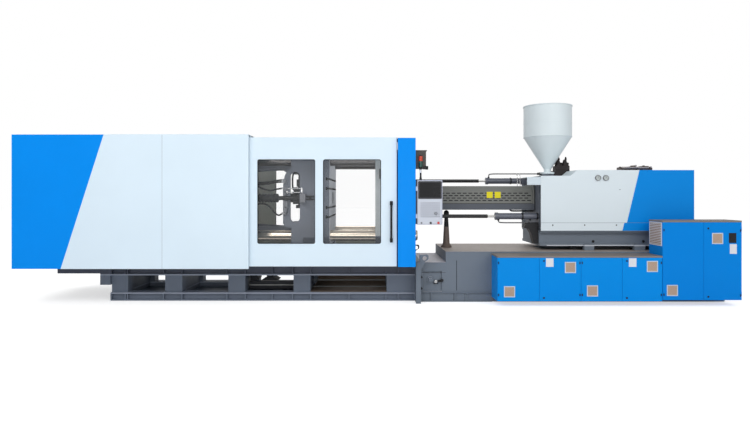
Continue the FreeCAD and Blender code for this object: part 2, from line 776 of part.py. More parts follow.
def make_barrel_cover():
    """Folded guard round the barrel, open underneath, on a collar and an end flange."""
    reach, centre = d.shell_radius, d.axis_height
    edge, thick = 70, 5
    section = [(-reach, centre - reach), (-reach, centre + reach - edge),
               (-reach + edge, centre + reach), (reach - edge, centre + reach),
               (reach, centre + reach - edge), (reach, centre - reach),
               (reach - 40, centre - reach), (reach - 40, centre - reach + thick),
               (reach - thick, centre - reach + thick),
               (reach - thick, centre + reach - edge - 2),
               (reach - edge - 2, centre + reach - thick),
               (-reach + edge + 2, centre + reach - thick),
               (-reach + thick, centre + reach - edge - 2),
               (-reach + thick, centre - reach + thick),
               (-reach + 40, centre - reach + thick), (-reach + 40, centre - reach)]
    shell = prism("BarrelCover", "YZ", d.shell_left, d.shell_right, section)
    inner = reach - thick
    collar = box((d.shell_left + 10, d.shell_left + 22), (-inner, inner),
                 (centre - inner, centre + inner - edge))
    flange = box((d.shell_right, d.cover_left - 2), (-reach - 29, reach + 29),
                 (centre - reach - 6, centre + reach + 17))
    bore = bar("x", d.shell_left, d.cover_left, (0, centre), d.barrel_radius)
    return fuse(shell, cut(fuse(collar, flange), bore))


def make_screw():
    """Plasticising screw: tip, flighted part and splined tail."""
    start = 780
    outline = [(0, 0), (60, 38), (60, 54.95), (2360, 54.95), (2360, 44), (3155, 44), (3155, 0)]
    return revolve("Screw", "x", start, (0, d.axis_height), outline)


def make_injection_housing():
    """Front housing that holds the barrel, and the two injection cylinders behind it."""
    top = d.cover_step - 6
    left, right = d.cover_left + 16, 3050
    block = box((left, right), (-400, 400), (1032, top))
    seat = bar("x", left - 1, right + 1, (0, d.axis_height), d.barrel_radius)
    feed = bar("z", d.axis_height, top + 1, (d.hopper_x, 0), 50)
    tubes = []
    for y in (-285, 285):
        tube = bar("x", right, 3640, (y, d.axis_height), 105)
        head = bar("x", 3640, 3690, (y, d.axis_height), 125)
        bore = bar("x", right + 20, 3691, (y, d.axis_height), 40.06)
        tubes.append(cut(fuse(tube, head), bore))
    stand = box((3560, 3640), (-400, 400), (1032, d.axis_height - 70))
    return fuse(cut(block, seat, feed), *tubes, stand)


def make_screw_motor():
    """Thrust plate with its piston rods and the hydraulic motor that turns the screw."""
    centre = d.axis_height
    plate = box((3800, 3940), (-430, 430), (centre - 170, centre + 170))
    hole = bar("x", 3700, 3941, (0, centre), 44.06)
    rods = [bar("x", 3120, 3800, (y, centre), 40) for y in (-285, 285)]
    motor = bar("x", 3940, 4260, (0, centre), 165)
    cap = bar("x", 4260, 4330, (0, centre), 110)
    return fuse(cut(plate, hole), *rods, motor, cap)


def make_injection_cover():
    """Sheet housing over the drive, open at its lower left end, with the hopper's hole."""
    left, right, low = d.cover_left, d.cover_right, d.cover_low
    high, step, side, wall = d.cover_high, d.cover_step, d.cover_side, 5
    outer = [(left, low), (right, low), (right, high), (3006, high), (2904, step), (left, step)]
    inner = [(left - 1, low - 1), (right - wall, low - 1), (right - wall, high - wall),
             (3008, high - wall), (2906, step - wall), (left - 1, step - wall)]
    body = prism("InjectionCover", "XZ", -side, side, outer)
    pocket(body, "XZ", -side + wall, side - wall, inner)
    pocket(body, "XY", step - wall - 1, step + 1, (d.hopper_x, Size(0, "0"), 118))
    return body


def make_gauges():
    """Two round pressure gauges set on the front of the injection cover."""
    gauges = []
    for x in (3313, 3431):
        gauge = revolve("Gauge", "y", -d.cover_side, (x, 1822),
                        [(0, 0), (0, 43), (-16, 43), (-20, 40), (-20, 36), (-14, 36), (-14, 0)])
        gauges.append(gauge)
    return group(*gauges)


# ---------------------------------------------------------------- hopper
def make_throat():
    """Square throat block whose upper edges guide the shut-off plate."""
    low = d.cover_step - 6
    block = box((d.hopper_x - 80, d.hopper_x + 80), (-80, 80), (low, 1888))
    guides = both_sides(lambda sign: box((d.hopper_x - 110, d.hopper_x + 110),
                                         span(sign, 66, 80), (1880, 1904)))
    bore = bar("z", low - 1, 1905, (d.hopper_x, 0), 50)
    return cut(fuse(block, *guides), bore)


def make_gate():
    """Shut-off plate with its through hole and a turned-up pull edge on the left."""
    left, right = d.hopper_x - 140, d.hopper_x + 152
    plate = box((left, right), (-65.5, 65.5), (1888.5, 1903.5))
    lip = box((left - 10, left), (-65.5, 65.5), (1888.5, 1925))
    hole = bar("z", 1888, 1904, (d.hopper_x, 0), 50)
    return cut(fuse(plate, lip), hole)


def make_hopper():
    """Spun sheet hopper: flange, neck, cone, drum and rolled rim, open right through."""
    base, neck, skirt, top = Size(1904, "1904"), d.hopper_neck, d.hopper_skirt, d.hopper_top
    radius, wall = d.hopper_radius, 6
    outline = [(0, 50), (0, 120), (26, 120), (26, 56), (neck - base, 56), (skirt - base, radius),
               (top - base - 14, radius), (top - base - 14, radius + 8),
               (top - base, radius + 8), (top - base, radius - wall),
               (skirt - base + 3, radius - wall), (neck - base + 3, 50)]
    return revolve("Hopper", "z", base, (d.hopper_x, 0), outline)


# ---------------------------------------------------------------- carriage cylinders
def cylinder_places():
    reach, rise = d.carriage_reach, d.carriage_rise
    return [(-reach, d.axis_height - rise), (reach, d.axis_height + rise)]


def make_carriage_cylinders():
    """Tubes with square front flanges and blind bores for the rods."""
    tubes = []
    for y, z in cylinder_places():
        outline = [(0, 18.06), (0, 57), (44, 57), (44, d.carriage_tube),
                   (666, d.carriage_tube), (666, 0), (560, 0), (560, 18.06)]
        tubes.append(revolve("CarriageTube", "x", 1810, (y, z), outline))
    upper_y, upper_z = cylinder_places()[1]
    bracket = box((2400, d.cover_left + 16), (upper_y - 60, upper_y + 60),
                  (upper_z - 60, upper_z + 48))
    bore = bar("x", 2399, d.cover_left + 17, (upper_y, upper_z), d.carriage_tube)
    return group(tubes[0], fuse(tubes[1], cut(bracket, bore)))


def make_carriage_rods():
    """Black extension tube and bright piston rod from the fixed platen."""
    rods = []
    for y, z in cylinder_places():
        outline = [(0, 0), (0, 46), (40, 46), (40, 28), (1295, 28), (1295, 18), (1800, 18),
                   (1800, 0)]
        rods.append(revolve("CarriageRod", "x", d.fixed_back, (y, z), outline))
    return group(*rods)


def make_barrel_support():
    """Tapered turned post with a flared foot and a domed head under the barrel."""
    rise = 1329 - 735
    outline = [(0, 0), (0, 86), (20, 86), (52, 60), (70, 55), (rise - 112, 30),
               (rise - 104, 43), (rise - 40, 43), (rise - 12, 30), (rise, 0)]
    return revolve("Support", "z", d.bed_top, (d.support_x, 0), outline)


# ---------------------------------------------------------------- electrical cabinets
CABINET_SKIN = 16
LOW_SEAMS = [d.low_left, 2278, 2862, 3439, d.low_right]
TALL_SEAM = 4580


def make_cabinet(name, left, right, low, high, dividers):
    """An open-fronted sheet cabinet with its dividers."""
    front, back = d.low_front + 4 + CABINET_SKIN, -d.bed_side
    body = prism(name, "XZ", front, back, rect(left, right, low, high))
    edges = [left] + dividers + [right]
    cells = [rect(a + 8, b - 8, low + 20, high - 20) for a, b in zip(edges, edges[1:])]
    pocket(body, "XZ", front - 1, back - 6, *cells)
    return body


def make_cabinet_door(name, left, right, low, high, hinge_left, vent, lock_drop):
    """A folded door with a louvred vent recess, hinge pins and quarter-turn locks."""
    front = d.low_front + 4
    edge = (left + 2, right - 2)
    body = prism(name, "XZ", front, front + CABINET_SKIN - 0.5, rect(*edge, low, high))
    vent_x, vent_z = vent
    pocket(body, "XZ", front - 1, front + 5,
           rect(vent_x - 75, vent_x + 75, vent_z - 75, vent_z + 75))
    slats = [box((vent_x - 75, vent_x + 75), (front + 1, front + 5.2),
                 (vent_z - 75 + 20 * row, vent_z - 64 + 20 * row)) for row in range(1, 7)]
    hinge_x = edge[0] if hinge_left else edge[1]
    pins_at = [low + 60, high - 120]
    fittings = [bar("z", z, z + 60, (hinge_x, front), 1.8) for z in pins_at]
    if not hinge_left:
        fittings += [bar("y", front - 3, front + 1, (left + 64, z), 13)
                     for z in (low + 46, high - lock_drop)]
    return fuse(body, *slats, *fittings)


def make_main_switch():
    """Round grip of the rotary main switch."""
    front = d.low_front + 4
    return bar("y", front - 3.6, front - 0.4, (4984, 964), 34)


# ---------------------------------------------------------------- operator's panel
KNOB_X, STOP_X, BUTTON_Z = 755, 864, 1175


def make_console():
    """Panel case with a screen recess, a keypad field and its hinge knuckle."""
    left, right = d.console_left, d.console_right
    low, high = d.console_low, d.console_high
    front = -d.guard_side + 8
    body = prism("Console", "XZ", front, front + 110, rect(left, right, low, high))
    pocket(body, "XZ", front - 1, front + 6, rect(left + 22, right - 22, high - 262, high - 22))
    pocket(body, "XZ", front - 1, front + 2, rect(left + 22, right - 22, low + 60, high - 284))
    pocket(body, "XZ", front - 1, front + 8, (STOP_X, BUTTON_Z, 18))
    knuckles = [bar("z", z, z + 60, (557, front + 10), 11) for z in (low + 90, high - 150)]
    leaves = [box((557, left), (front + 2, front + 18), (z, z + 60))
              for z in (low + 90, high - 150)]
    return fuse(body, *knuckles, *leaves)


def make_screen():
    left, right, high = d.console_left, d.console_right, d.console_high
    front = -d.guard_side + 8
    return box((left + 23, right - 23), (front + 1, front + 6), (high - 261, high - 23))


def button(x, z, radius, reach, foot):
    front = -d.guard_side + 8
    return bar("y", front - reach, front + foot, (x, z), radius)


def make_lamp():
    """Three stacked lenses on a short pole with a flared foot."""
    outline = [(0, 0), (0, 30), (10, 30), (30, 12), (62, 12), (66, 27), (156, 27), (158, 25),
               (160, 27), (248, 27), (250, 25), (252, 27), (330, 27), (344, 20), (348, 0)]
    return revolve("Lamp", "z", d.console_high, (619, -d.guard_side + 62), outline)


# ---------------------------------------------------------------- the whole machine
def build_clamp():
    node("clamp_base", make_clamp_base())
    node("fixed_platen", make_fixed_platen())
    node("moving_platen", make_moving_platen())
    node("tail_platen", make_tail_platen())
    node("tie_bars", make_tie_bars())
    node("tie_bar_nuts", make_nuts("Nuts", d.fixed_back, d.fixed_back + 110, 0, 140))
    node("adjusting_nuts", make_nuts("Nuts", d.tail_back - 130, d.tail_back, 0.5, 150))
    make_toggle()
    node("crosshead", make_crosshead())
    node("clamp_cylinder", make_clamp_cylinder())
    node("clamp_rod", make_clamp_rod())
    node("ejector_cylinder", make_ejector_cylinder())
    node("ejector_rod", make_ejector_rod())


def build_guards():
    blue, white = make_guard_fronts()
    node("guard_front_blue", blue)
    node("guard_front_white", white)
    node("guard_rear", group(mirrored(blue), mirrored(white)))
    node("guard_roof", make_roof())
    node("guard_frame", make_guard_frame())
    node("door_rails", make_door_rails())
    node("front_door", make_door(FRONT_PANES))
    node("front_door_panes", make_panes(FRONT_PANES))
    handle = node("front_door_handle", make_handle())
    node("rear_door", fuse(mirrored(make_door(REAR_PANES)), mirrored(handle)))
    node("rear_door_panes", mirrored(make_panes(REAR_PANES)))
    column = make_column()
    node("guard_columns", group(column, mirrored(column)))


def build_injection():
    node("base_joint_flanges", make_flanges())
    node("base_joint_bolts", make_flange_bolts())
    node("injection_base", make_injection_base())
    node("carriage_rails", make_carriage_rails())
    node("carriage_base", make_carriage_base())
    node("barrel", make_barrel())
    node("barrel_cover", make_barrel_cover())
    node("screw", make_screw())
    node("injection_housing", make_injection_housing())
    node("screw_motor", make_screw_motor())
    node("injection_cover", make_injection_cover())
    node("pressure_gauges", make_gauges())
    node("feed_throat", make_throat())
    node("hopper_gate", make_gate())
    node("hopper", make_hopper())
    node("carriage_cylinders", make_carriage_cylinders())
    node("carriage_rods", make_carriage_rods())
    node("barrel_support", make_barrel_support())


def build_cabinets():
    node("low_cabinet", make_cabinet("LowCabinet", d.low_left, d.low_right, d.low_bottom,
                                     d.low_top, LOW_SEAMS[1:4]))
    vents = [(1859, 211), (2712, 551), (3021, 222), (3860, 565)]
    for index in range(4):
        name = "low_cabinet_door_%d" % (index + 1)
        node(name, make_cabinet_door(name, LOW_SEAMS[index], LOW_SEAMS[index + 1],
                                     d.low_bottom + 4, d.low_top - 18, index % 2 == 0,
                                     vents[index], 45))
    node("tall_cabinet", make_cabinet("TallCabinet", d.tall_left, d.right_end, d.tall_bottom,
                                      d.tall_top, [TALL_SEAM]))
    node("tall_cabinet_door_left",
         make_cabinet_door("TallLeft", d.tall_left, TALL_SEAM, d.tall_bottom + 4,
                           d.tall_top - 18, True, (4139, 228), 85))
    node("tall_cabinet_door_right",
         make_cabinet_door("TallRight", TALL_SEAM, d.right_end, d.tall_bottom + 4,
                           d.tall_top - 18, False, (4774, 958), 85))
    node("main_switch", make_main_switch())


def build_console():
    node("panel_case", make_console())
    node("panel_screen", make_screen())
    node("panel_knob", button(KNOB_X, BUTTON_Z, 15, 7, -0.4))
    node("stop_button", button(STOP_X, BUTTON_Z, 17, 7.5, 1))
    node("signal_lamp", make_lamp())


def check_and_write():
    """Recompute, refuse anything failed or invalid, and write one file per piece."""
    doc.recompute()
    for obj in doc.Objects:
        if "Invalid" in obj.State or "Error" in obj.State:
            raise RuntimeError("%s failed: %s" % (obj.Name, obj.State))
    os.makedirs("parts", exist_ok=True)
    for name, part in NODES.items():
        if part.Shape.isNull() or not part.Shape.isValid():
            raise RuntimeError(name + " has no valid shape")
        part.Shape.exportStep(os.path.join("parts", name + ".step"))
    print("pieces", len(NODES))


build_clamp()
build_guards()
build_injection()
build_cabinets()
build_console()
check_and_write()
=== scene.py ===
"""Looks of the horizontal injection moulding machine round its fixed CAD frame, in metres."""
import math

import bmesh
import bpy
from mathutils import Matrix, Vector


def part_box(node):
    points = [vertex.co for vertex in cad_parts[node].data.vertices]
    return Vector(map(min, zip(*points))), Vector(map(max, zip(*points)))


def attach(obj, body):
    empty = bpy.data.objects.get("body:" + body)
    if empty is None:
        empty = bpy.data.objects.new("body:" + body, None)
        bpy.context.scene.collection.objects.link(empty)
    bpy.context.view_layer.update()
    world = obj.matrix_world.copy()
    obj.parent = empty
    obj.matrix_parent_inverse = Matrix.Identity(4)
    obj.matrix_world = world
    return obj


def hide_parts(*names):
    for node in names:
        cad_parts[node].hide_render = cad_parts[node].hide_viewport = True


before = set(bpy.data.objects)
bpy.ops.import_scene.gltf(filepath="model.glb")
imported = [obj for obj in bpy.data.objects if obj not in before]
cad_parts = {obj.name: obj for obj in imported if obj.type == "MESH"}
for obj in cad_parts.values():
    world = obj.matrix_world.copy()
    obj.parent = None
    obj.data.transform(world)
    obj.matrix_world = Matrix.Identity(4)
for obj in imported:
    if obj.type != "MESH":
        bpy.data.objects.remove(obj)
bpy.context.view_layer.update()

AXIS = 1.522            # machine axis above the floor

CAMERA_PLACE = (-0.025, -9.12, 1.552)
FOCAL_PIXELS, PHOTO_WIDTH, SENSOR = 571.4, 750, 36
HORIZON_PIXEL, MIDDLE_PIXEL = 196, 212
WORLD_STRENGTH, MIRRORED_BACKDROP = 0.46, 0.35
FLOOR_REACH, FLOOR_GREY, FLOOR_LIFT = 60, 0.9, 0.58
DRIFT_SCALE, GLOSS_SCALE, GRAIN_SCALE = 1.3, 9, 60      # noise sizes of every finish
SIDES = (("front", -1), ("rear", 1))
paints = {}             # this script's finishes; the CAD's own materials share some names


# ---------------------------------------------------------------- shader helpers
def tint(red, green, blue):
    """A colour written as 0 to 255 display values, in Blender's linear values."""
    def linear(part):
        part /= 255
        return part / 12.92 if part <= 0.04045 else ((part + 0.055) / 1.055) ** 2.4
    return (linear(red), linear(green), linear(blue), 1)


def compute(tree, operation, first, second=0):
    """A math node's result; each operand is a number or a socket."""
    node = tree.nodes.new("ShaderNodeMath")
    node.operation = operation
    for socket, value in zip(node.inputs, (first, second)):
        if isinstance(value, (int, float)):
            socket.default_value = value
        else:
            tree.links.new(value, socket)
    return node.outputs[0]


def coordinate(tree, axis):
    """One of a point's object coordinates."""
    split = tree.nodes.new("ShaderNodeSeparateXYZ")
    place = tree.nodes.new("ShaderNodeTexCoord")
    tree.links.new(place.outputs["Object"], split.inputs[0])
    return split.outputs[axis]


def facing(tree, axis):
    """One component of the surface's own outward direction."""
    split = tree.nodes.new("ShaderNodeSeparateXYZ")
    side = tree.nodes.new("ShaderNodeNewGeometry")
    tree.links.new(side.outputs["Normal"], split.inputs[0])
    return split.outputs[axis]


def above(tree, value, limit):
    """One where the value is over the limit."""
    return compute(tree, "GREATER_THAN", value, limit)


def below(tree, value, limit):
    """One where the value is under the limit."""
    return compute(tree, "LESS_THAN", value, limit)


def both(tree, first, second):
    """One where both masks are one."""
    return compute(tree, "MULTIPLY", first, second)


def object_noise(tree, scale, detail=3, stretch=None):
    """Noise in object coordinates, the same on every piece that shares the finish."""
    place = tree.nodes.new("ShaderNodeTexCoord").outputs["Object"]
    if stretch:
        turn = tree.nodes.new("ShaderNodeMapping")
        turn.inputs["Scale"].default_value = stretch
        tree.links.new(place, turn.inputs["Vector"])
        place = turn.outputs["Vector"]
    noise = tree.nodes.new("ShaderNodeTexNoise")
    noise.inputs["Scale"].default_value = scale
    noise.inputs["Detail"].default_value = detail
    tree.links.new(place, noise.inputs["Vector"])
    return noise.outputs["Fac"]


def spread(tree, value, low, high):
    """Map a noise value round one half to the range low to high."""
    node = tree.nodes.new("ShaderNodeMapRange")
    limits = {"From Min": 0.3, "From Max": 0.7, "To Min": low, "To Max": high}
    for name, limit in limits.items():
        node.inputs[name].default_value = limit
    tree.links.new(value, node.inputs["Value"])
    return node.outputs["Result"]


def shaded(tree, colour_a, colour_b, factor):
    """One colour or another by a factor; each is a tuple or a socket."""
    mix = tree.nodes.new("ShaderNodeMix")
    mix.data_type = "RGBA"
    inputs = [s for s in mix.inputs if s.type == "RGBA"]
    for socket, colour in zip(inputs, (colour_a, colour_b)):
        if isinstance(colour, tuple):
            socket.default_value = colour
        else:
            tree.links.new(colour, socket)
    tree.links.new(factor, mix.inputs[0])
    return [s for s in mix.outputs if s.type == "RGBA"][0]


# ---------------------------------------------------------------- camera, light and floor
def link(name, data):
    """A new object of this data in the scene."""
    item = bpy.data.objects.new(name, data)
    bpy.context.collection.objects.link(item)
    return item


def make_camera():
    """The photograph's viewpoint: level, with the lens shifted to its horizon."""
    data = bpy.data.cameras.new("camera")
    data.sensor_width = SENSOR
    data.lens = FOCAL_PIXELS / PHOTO_WIDTH * SENSOR
    data.shift_y = (HORIZON_PIXEL - MIDDLE_PIXEL) / PHOTO_WIDTH
    camera = link("camera", data)
    camera.location = CAMERA_PLACE
    camera.rotation_euler = (math.radians(90), 0, 0)
    bpy.context.scene.camera = camera


def make_area(name, place, toward, size, watts):
    """A rectangular lamp at one place that faces another."""
    data = bpy.data.lights.new(name, "AREA")
    data.shape = "RECTANGLE"
    data.size, data.size_y, data.energy = *size, watts
    lamp = link(name, data)
    lamp.location = place
    lamp.rotation_euler = (Vector(toward) - Vector(place)).to_track_quat("-Z", "Y").to_euler()


def make_world():
    """Even light on the machine, and a white backdrop for the camera, glass and metal."""
    world = bpy.data.worlds.new("studio")
    world.use_nodes = True
    tree = world.node_tree
    tree.nodes.clear()
    rays = tree.nodes.new("ShaderNodeLightPath").outputs
    seen = compute(tree, "MAXIMUM", rays["Is Camera Ray"], rays["Is Transmission Ray"])
    shiny = compute(tree, "MULTIPLY", rays["Is Glossy Ray"], MIRRORED_BACKDROP)
    mix = tree.nodes.new("ShaderNodeMixShader")
    tree.links.new(compute(tree, "MAXIMUM", seen, shiny), mix.inputs[0])
    for index, strength in ((1, WORLD_STRENGTH), (2, 1)):
        light = tree.nodes.new("ShaderNodeBackground")
        light.inputs["Color"].default_value = (1, 1, 1, 1)
        light.inputs["Strength"].default_value = strength
        tree.links.new(light.outputs[0], mix.inputs[index])
    out = tree.nodes.new("ShaderNodeOutputWorld")
    tree.links.new(mix.outputs[0], out.inputs["Surface"])
    bpy.context.scene.world = world
    bpy.context.scene.view_settings.view_transform = "Standard"


def make_floor():
    """A pale floor that keeps the machine's shadow and fades into the white backdrop."""
    mesh = bpy.data.meshes.new("floor")
    corners = [(x * FLOOR_REACH, y * FLOOR_REACH, 0)
               for x, y in ((-1, -1), (1, -1), (1, 1), (-1, 1))]
    mesh.from_pydata(corners, [], [(0, 1, 2, 3)])
    material = bpy.data.materials.new("floor_white")
    material.use_nodes = True
    tree = material.node_tree
    shader = tree.nodes["Principled BSDF"].inputs
    shader["Base Color"].default_value = (FLOOR_GREY, FLOOR_GREY, FLOOR_GREY, 1)
    shader["Roughness"].default_value = 0.9
    shader["Emission Color"].default_value = (1, 1, 1, 1)
    rays = tree.nodes.new("ShaderNodeLightPath").outputs
    tree.links.new(compute(tree, "MULTIPLY", rays["Is Camera Ray"], FLOOR_LIFT),
                   shader["Emission Strength"])
    mesh.materials.append(material)
    link("floor", mesh)


# ---------------------------------------------------------------- materials
def finish(name, colour, rough, metal=0.0, peel=0.0004, peel_scale=160, vary=0.93,
           coat=0.0, rough_spread=0.06, stretch=None, gloss=0.5):
    """A painted, plastic or metal finish with colour drift, uneven gloss and fine bump."""
    material = paints[name] = bpy.data.materials.new(name)
    material.use_nodes = True
    tree = material.node_tree
    shader = tree.nodes["Principled BSDF"].inputs
    full = tint(*colour)
    faded = tuple(part * vary for part in full[:3]) + (1,)
    drift = spread(tree, object_noise(tree, DRIFT_SCALE), 0, 1)
    tree.links.new(shaded(tree, faded, full, drift), shader["Base Color"])
    uneven = spread(tree, object_noise(tree, GLOSS_SCALE), rough - rough_spread,
                    rough + rough_spread)
    tree.links.new(uneven, shader["Roughness"])
    shader["Metallic"].default_value = metal
    shader["Specular IOR Level"].default_value = gloss
    shader["Coat Weight"].default_value = coat
    shader["Coat Roughness"].default_value = 0.12
    bump = tree.nodes.new("ShaderNodeBump")
    bump.inputs["Strength"].default_value = 0.35
    bump.inputs["Distance"].default_value = peel
    fine = object_noise(tree, GRAIN_SCALE if stretch else peel_scale, 2, stretch)
    tree.links.new(fine, bump.inputs["Height"])
    tree.links.new(bump.outputs["Normal"], shader["Normal"])
    return material


def repaint(material, colour, mask):
    """Lay a second colour, three display values or a socket, over a finish by a mask."""
    tree = material.node_tree
    base = tree.nodes["Principled BSDF"].inputs["Base Color"]
    over = tint(*colour) if isinstance(colour, tuple) else colour
    tree.links.new(shaded(tree, base.links[0].from_socket, over, mask), base)


def two_tone(name, colour, rough, axis, limit, beyond, **more):
    """A finish with a second colour past one place along an axis."""
    material = finish(name, colour, rough, **more)
    tree = material.node_tree
    repaint(material, beyond, above(tree, coordinate(tree, axis), limit))


WHITE = (222, 239, 251)
SLATE = (112, 122, 134)
CASTING = (108, 114, 125)
MACHINE_BLUE = {"coat": 0.02, "vary": 0.96, "gloss": 0.08}
ROUGH_SLATE = {"peel": 0.0008, "peel_scale": 60, "gloss": 0.35}
ROUGH_CASTING = {"peel_scale": 45, "vary": 0.84, "gloss": 0.35}
DRAWN_STEEL = {"metal": 1.0, "stretch": (0.02, 3, 3)}

finish("white_paint", WHITE, 0.34, coat=0.1, vary=0.97, gloss=0.3)
finish("blue_paint", (0, 143, 244), 0.4, **MACHINE_BLUE)
finish("cabinet_paint", (0, 141, 229), 0.4, **MACHINE_BLUE)
finish("tall_paint", (0, 132, 222), 0.4, **MACHINE_BLUE)
finish("slate_paint", SLATE, 0.48, vary=0.86, **ROUGH_SLATE)
finish("casting_paint", CASTING, 0.5, peel=0.0012, **ROUGH_CASTING)
finish("bracket_white", (212, 224, 232), 0.34, vary=0.97, gloss=0.3)
finish("hopper_paint", (220, 231, 235), 0.34, coat=0.1, vary=0.96)
finish("cylinder_grey", (94, 98, 110), 0.36, coat=0.2)
finish("ground_steel", (206, 194, 178), 0.22, peel=0.00001, vary=0.95, rough_spread=0.02,
       **DRAWN_STEEL)
finish("bright_steel", (205, 205, 205), 0.2, metal=1.0, peel=0.00005)
finish("rubber_black", (20, 21, 23), 0.62, peel=0.0006, peel_scale=90, gloss=0.3)
finish("navy_rubber", (46, 50, 64), 0.5, peel=0.0005, peel_scale=90)
finish("valve_brown", (84, 70, 66), 0.45, vary=0.6)
finish("plate_pale", (206, 212, 212), 0.4, vary=0.8, gloss=0.3)
finish("chute_brown", (104, 90, 78), 0.55, vary=0.7, gloss=0.3)
finish("lamp_red", (206, 66, 34), 0.2, coat=0.5)
finish("lamp_green", (22, 74, 64), 0.2, coat=0.5)
finish("stop_red", (206, 60, 52), 0.35, coat=0.2)
finish("screen_glass", (30, 30, 32), 0.3, coat=0.04, gloss=0.12)

# Plain finishes by their gloss: name, display colour, roughness.
PLAIN = {
    0.5: (("pipe_grey", (92, 92, 96), 0.35), ("valve_pale", (170, 162, 158), 0.4),
          ("mid_grey", (112, 114, 120), 0.45), ("slot_pale", (150, 152, 150), 0.45),
          ("rim_silver", (176, 180, 200), 0.35), ("rail_grey", (92, 98, 100), 0.5)),
    0.4: (("bezel_black", (20, 22, 32), 0.3),),
    0.3: (("lock_navy", (16, 46, 92), 0.4), ("lid_grey", (132, 124, 119), 0.5),
          ("louvre_pale", (222, 222, 230), 0.45), ("motor_black", (36, 30, 30), 0.5),
          # The steel carriage rails are painted nearly black as shade under the carriage.
          ("rail_shade_black", (34, 35, 38), 0.4), ("seam_grey", (116, 130, 142), 0.45),
          ("lip_grey", (150, 162, 172), 0.4), ("black_paint", (28, 29, 31), 0.42),
          ("box_grey", (76, 73, 70), 0.5), ("box_dark", (40, 42, 48), 0.55),
          ("panel_grey", (208, 214, 226), 0.4), ("key_grey", (84, 90, 108), 0.45),
          ("vent_frame", (206, 216, 226), 0.45), ("label_plain", (224, 226, 232), 0.5),
          ("label_yellow", (236, 222, 34), 0.5), ("dial_white", (188, 196, 196), 0.4)),
    0.2: (("louvre_beige", (206, 182, 164), 0.55), ("slot_dark", (44, 45, 48), 0.7),
          ("vent_beige", (156, 130, 112), 0.6)),
}
for gloss, rows in PLAIN.items():
    for name, colour, rough in rows:
        finish(name, colour, rough, gloss=gloss)

# Ground steel bars, with painted shade making the upper two grey.
two_tone("tie_bar_steel", (218, 206, 190), 0.2, "Z", AXIS, (112, 110, 110), peel=0.000002,
         vary=0.98, rough_spread=0.004, **DRAWN_STEEL)
# White tubes, with the low carriers under the guards in dark slate.
two_tone("guard_frame_paint", (52, 58, 66), 0.45, "Z", 0.62, WHITE, gloss=0.3)
# Grey perforated sheet above the barrel cover's seam and slate sheet below.
two_tone("barrel_cover_paint", (92, 97, 106), 0.46, "Z", 1.433, (120, 122, 118), gloss=0.3)
# Brownish grey post with a black domed head.
two_tone("post_paint", (116, 103, 96), 0.45, "Z", 1.065, (26, 26, 28), gloss=0.3)


def make_moving_platen_paint():
    """Casting paint with a bright machined mould face."""
    material = finish("moving_platen_paint", CASTING, 0.5, peel=0.0010, **ROUGH_CASTING)
    tree = material.node_tree
    repaint(material, (232, 238, 246), both(tree, above(tree, facing(tree, "X"), 0.9),
                                            above(tree, coordinate(tree, "X"), -0.71)))


def make_base_paint():
    """Slate weldment: painted shadow on the upper beam, and painted highlights on the flange
    edges.
    """
    material = finish("base_paint", (112, 122, 138), 0.48, vary=0.88, **ROUGH_SLATE)
    tree = material.node_tree
    up = coordinate(tree, "Z")
    # Painted shadow: the upper beam darker above the top flange.
    repaint(material, (72, 77, 92), above(tree, up, 0.3951))
    # Painted highlights: pale bands at the heights of the two flanges' edges.
    for low, high in ((0.1015, 0.1225), (0.3745, 0.3955)):
        repaint(material, (146, 154, 170), both(tree, above(tree, up, low),
                                                below(tree, up, high)))


def make_rear_paint():
    """White outside; on the inner face a pale greenish priming coat with painted shade, lighter
    towards the top.
    """
    material = finish("rear_paint", WHITE, 0.36, vary=0.97, gloss=0.3)
    tree = material.node_tree
    height = spread(tree, compute(tree, "MULTIPLY", coordinate(tree, "Z"), 0.333), 0, 1)
    # Priming coat with painted shade: darker towards the bottom of the inner face.
    primer_and_shade = shaded(tree, tint(214, 216, 198), tint(226, 228, 218), height)
    repaint(material, primer_and_shade, below(tree, facing(tree, "Y"), -0.5))


def make_bed_paint():
    """Slate sides and a brownish grey top, paler on its low step."""
    material = finish("bed_paint", SLATE, 0.48, vary=0.88, **ROUGH_SLATE)
    tree = material.node_tree
    upward = above(tree, facing(tree, "Z"), 0.7)
    repaint(material, (176, 165, 158), upward)
    repaint(material, (214, 211, 218), both(tree, upward,
                                            below(tree, coordinate(tree, "Z"), 0.65)))


def make_slide_paint():
    """Slate slide base with a nearly black front bracket and a painted highlight along its lower
    edge.
    """
    material = finish("slide_paint", SLATE, 0.46, peel=0.0006, peel_scale=60, gloss=0.35)
    tree = material.node_tree
    across, up = coordinate(tree, "X"), coordinate(tree, "Z")
    repaint(material, (24, 25, 29), below(tree, across, 2.4575))
    # Painted highlight: a pale band along the lower edge, right of the bracket.
    edge = both(tree, above(tree, up, 0.80), below(tree, up, 0.816))
    repaint(material, (196, 202, 210), both(tree, edge, above(tree, across, 2.56)))


def make_cover_paint():
    """Pale cover with a blue right end parted by a slanted line that kinks at the skirt."""
    material = finish("cover_paint", (221, 232, 238), 0.4, coat=0.02, vary=0.98, gloss=0.12)
    tree = material.node_tree
    across, up = coordinate(tree, "X"), coordinate(tree, "Z")
    top, seam, kink = (3.937, 1.941), (3.748, 1.151), 0.038
    slope = (top[0] - seam[0]) / (top[1] - seam[1])
    rise = compute(tree, "SUBTRACT", up, seam[1])
    edge = compute(tree, "ADD", compute(tree, "MULTIPLY", rise, slope), seam[0])
    edge = compute(tree, "SUBTRACT", edge,
                   compute(tree, "MULTIPLY", below(tree, up, seam[1]), kink))
    repaint(material, (0, 136, 224), above(tree, across, edge))


def make_rod_paint():
    """Black extension tube that ends where the bright rod starts."""
    material = finish("rod_paint", (24, 25, 27), 0.4)
    tree = material.node_tree
    bright = above(tree, coordinate(tree, "X"), 1.6951)
    repaint(material, (214, 214, 212), bright)
    tree.links.new(bright, tree.nodes["Principled BSDF"].inputs["Metallic"])


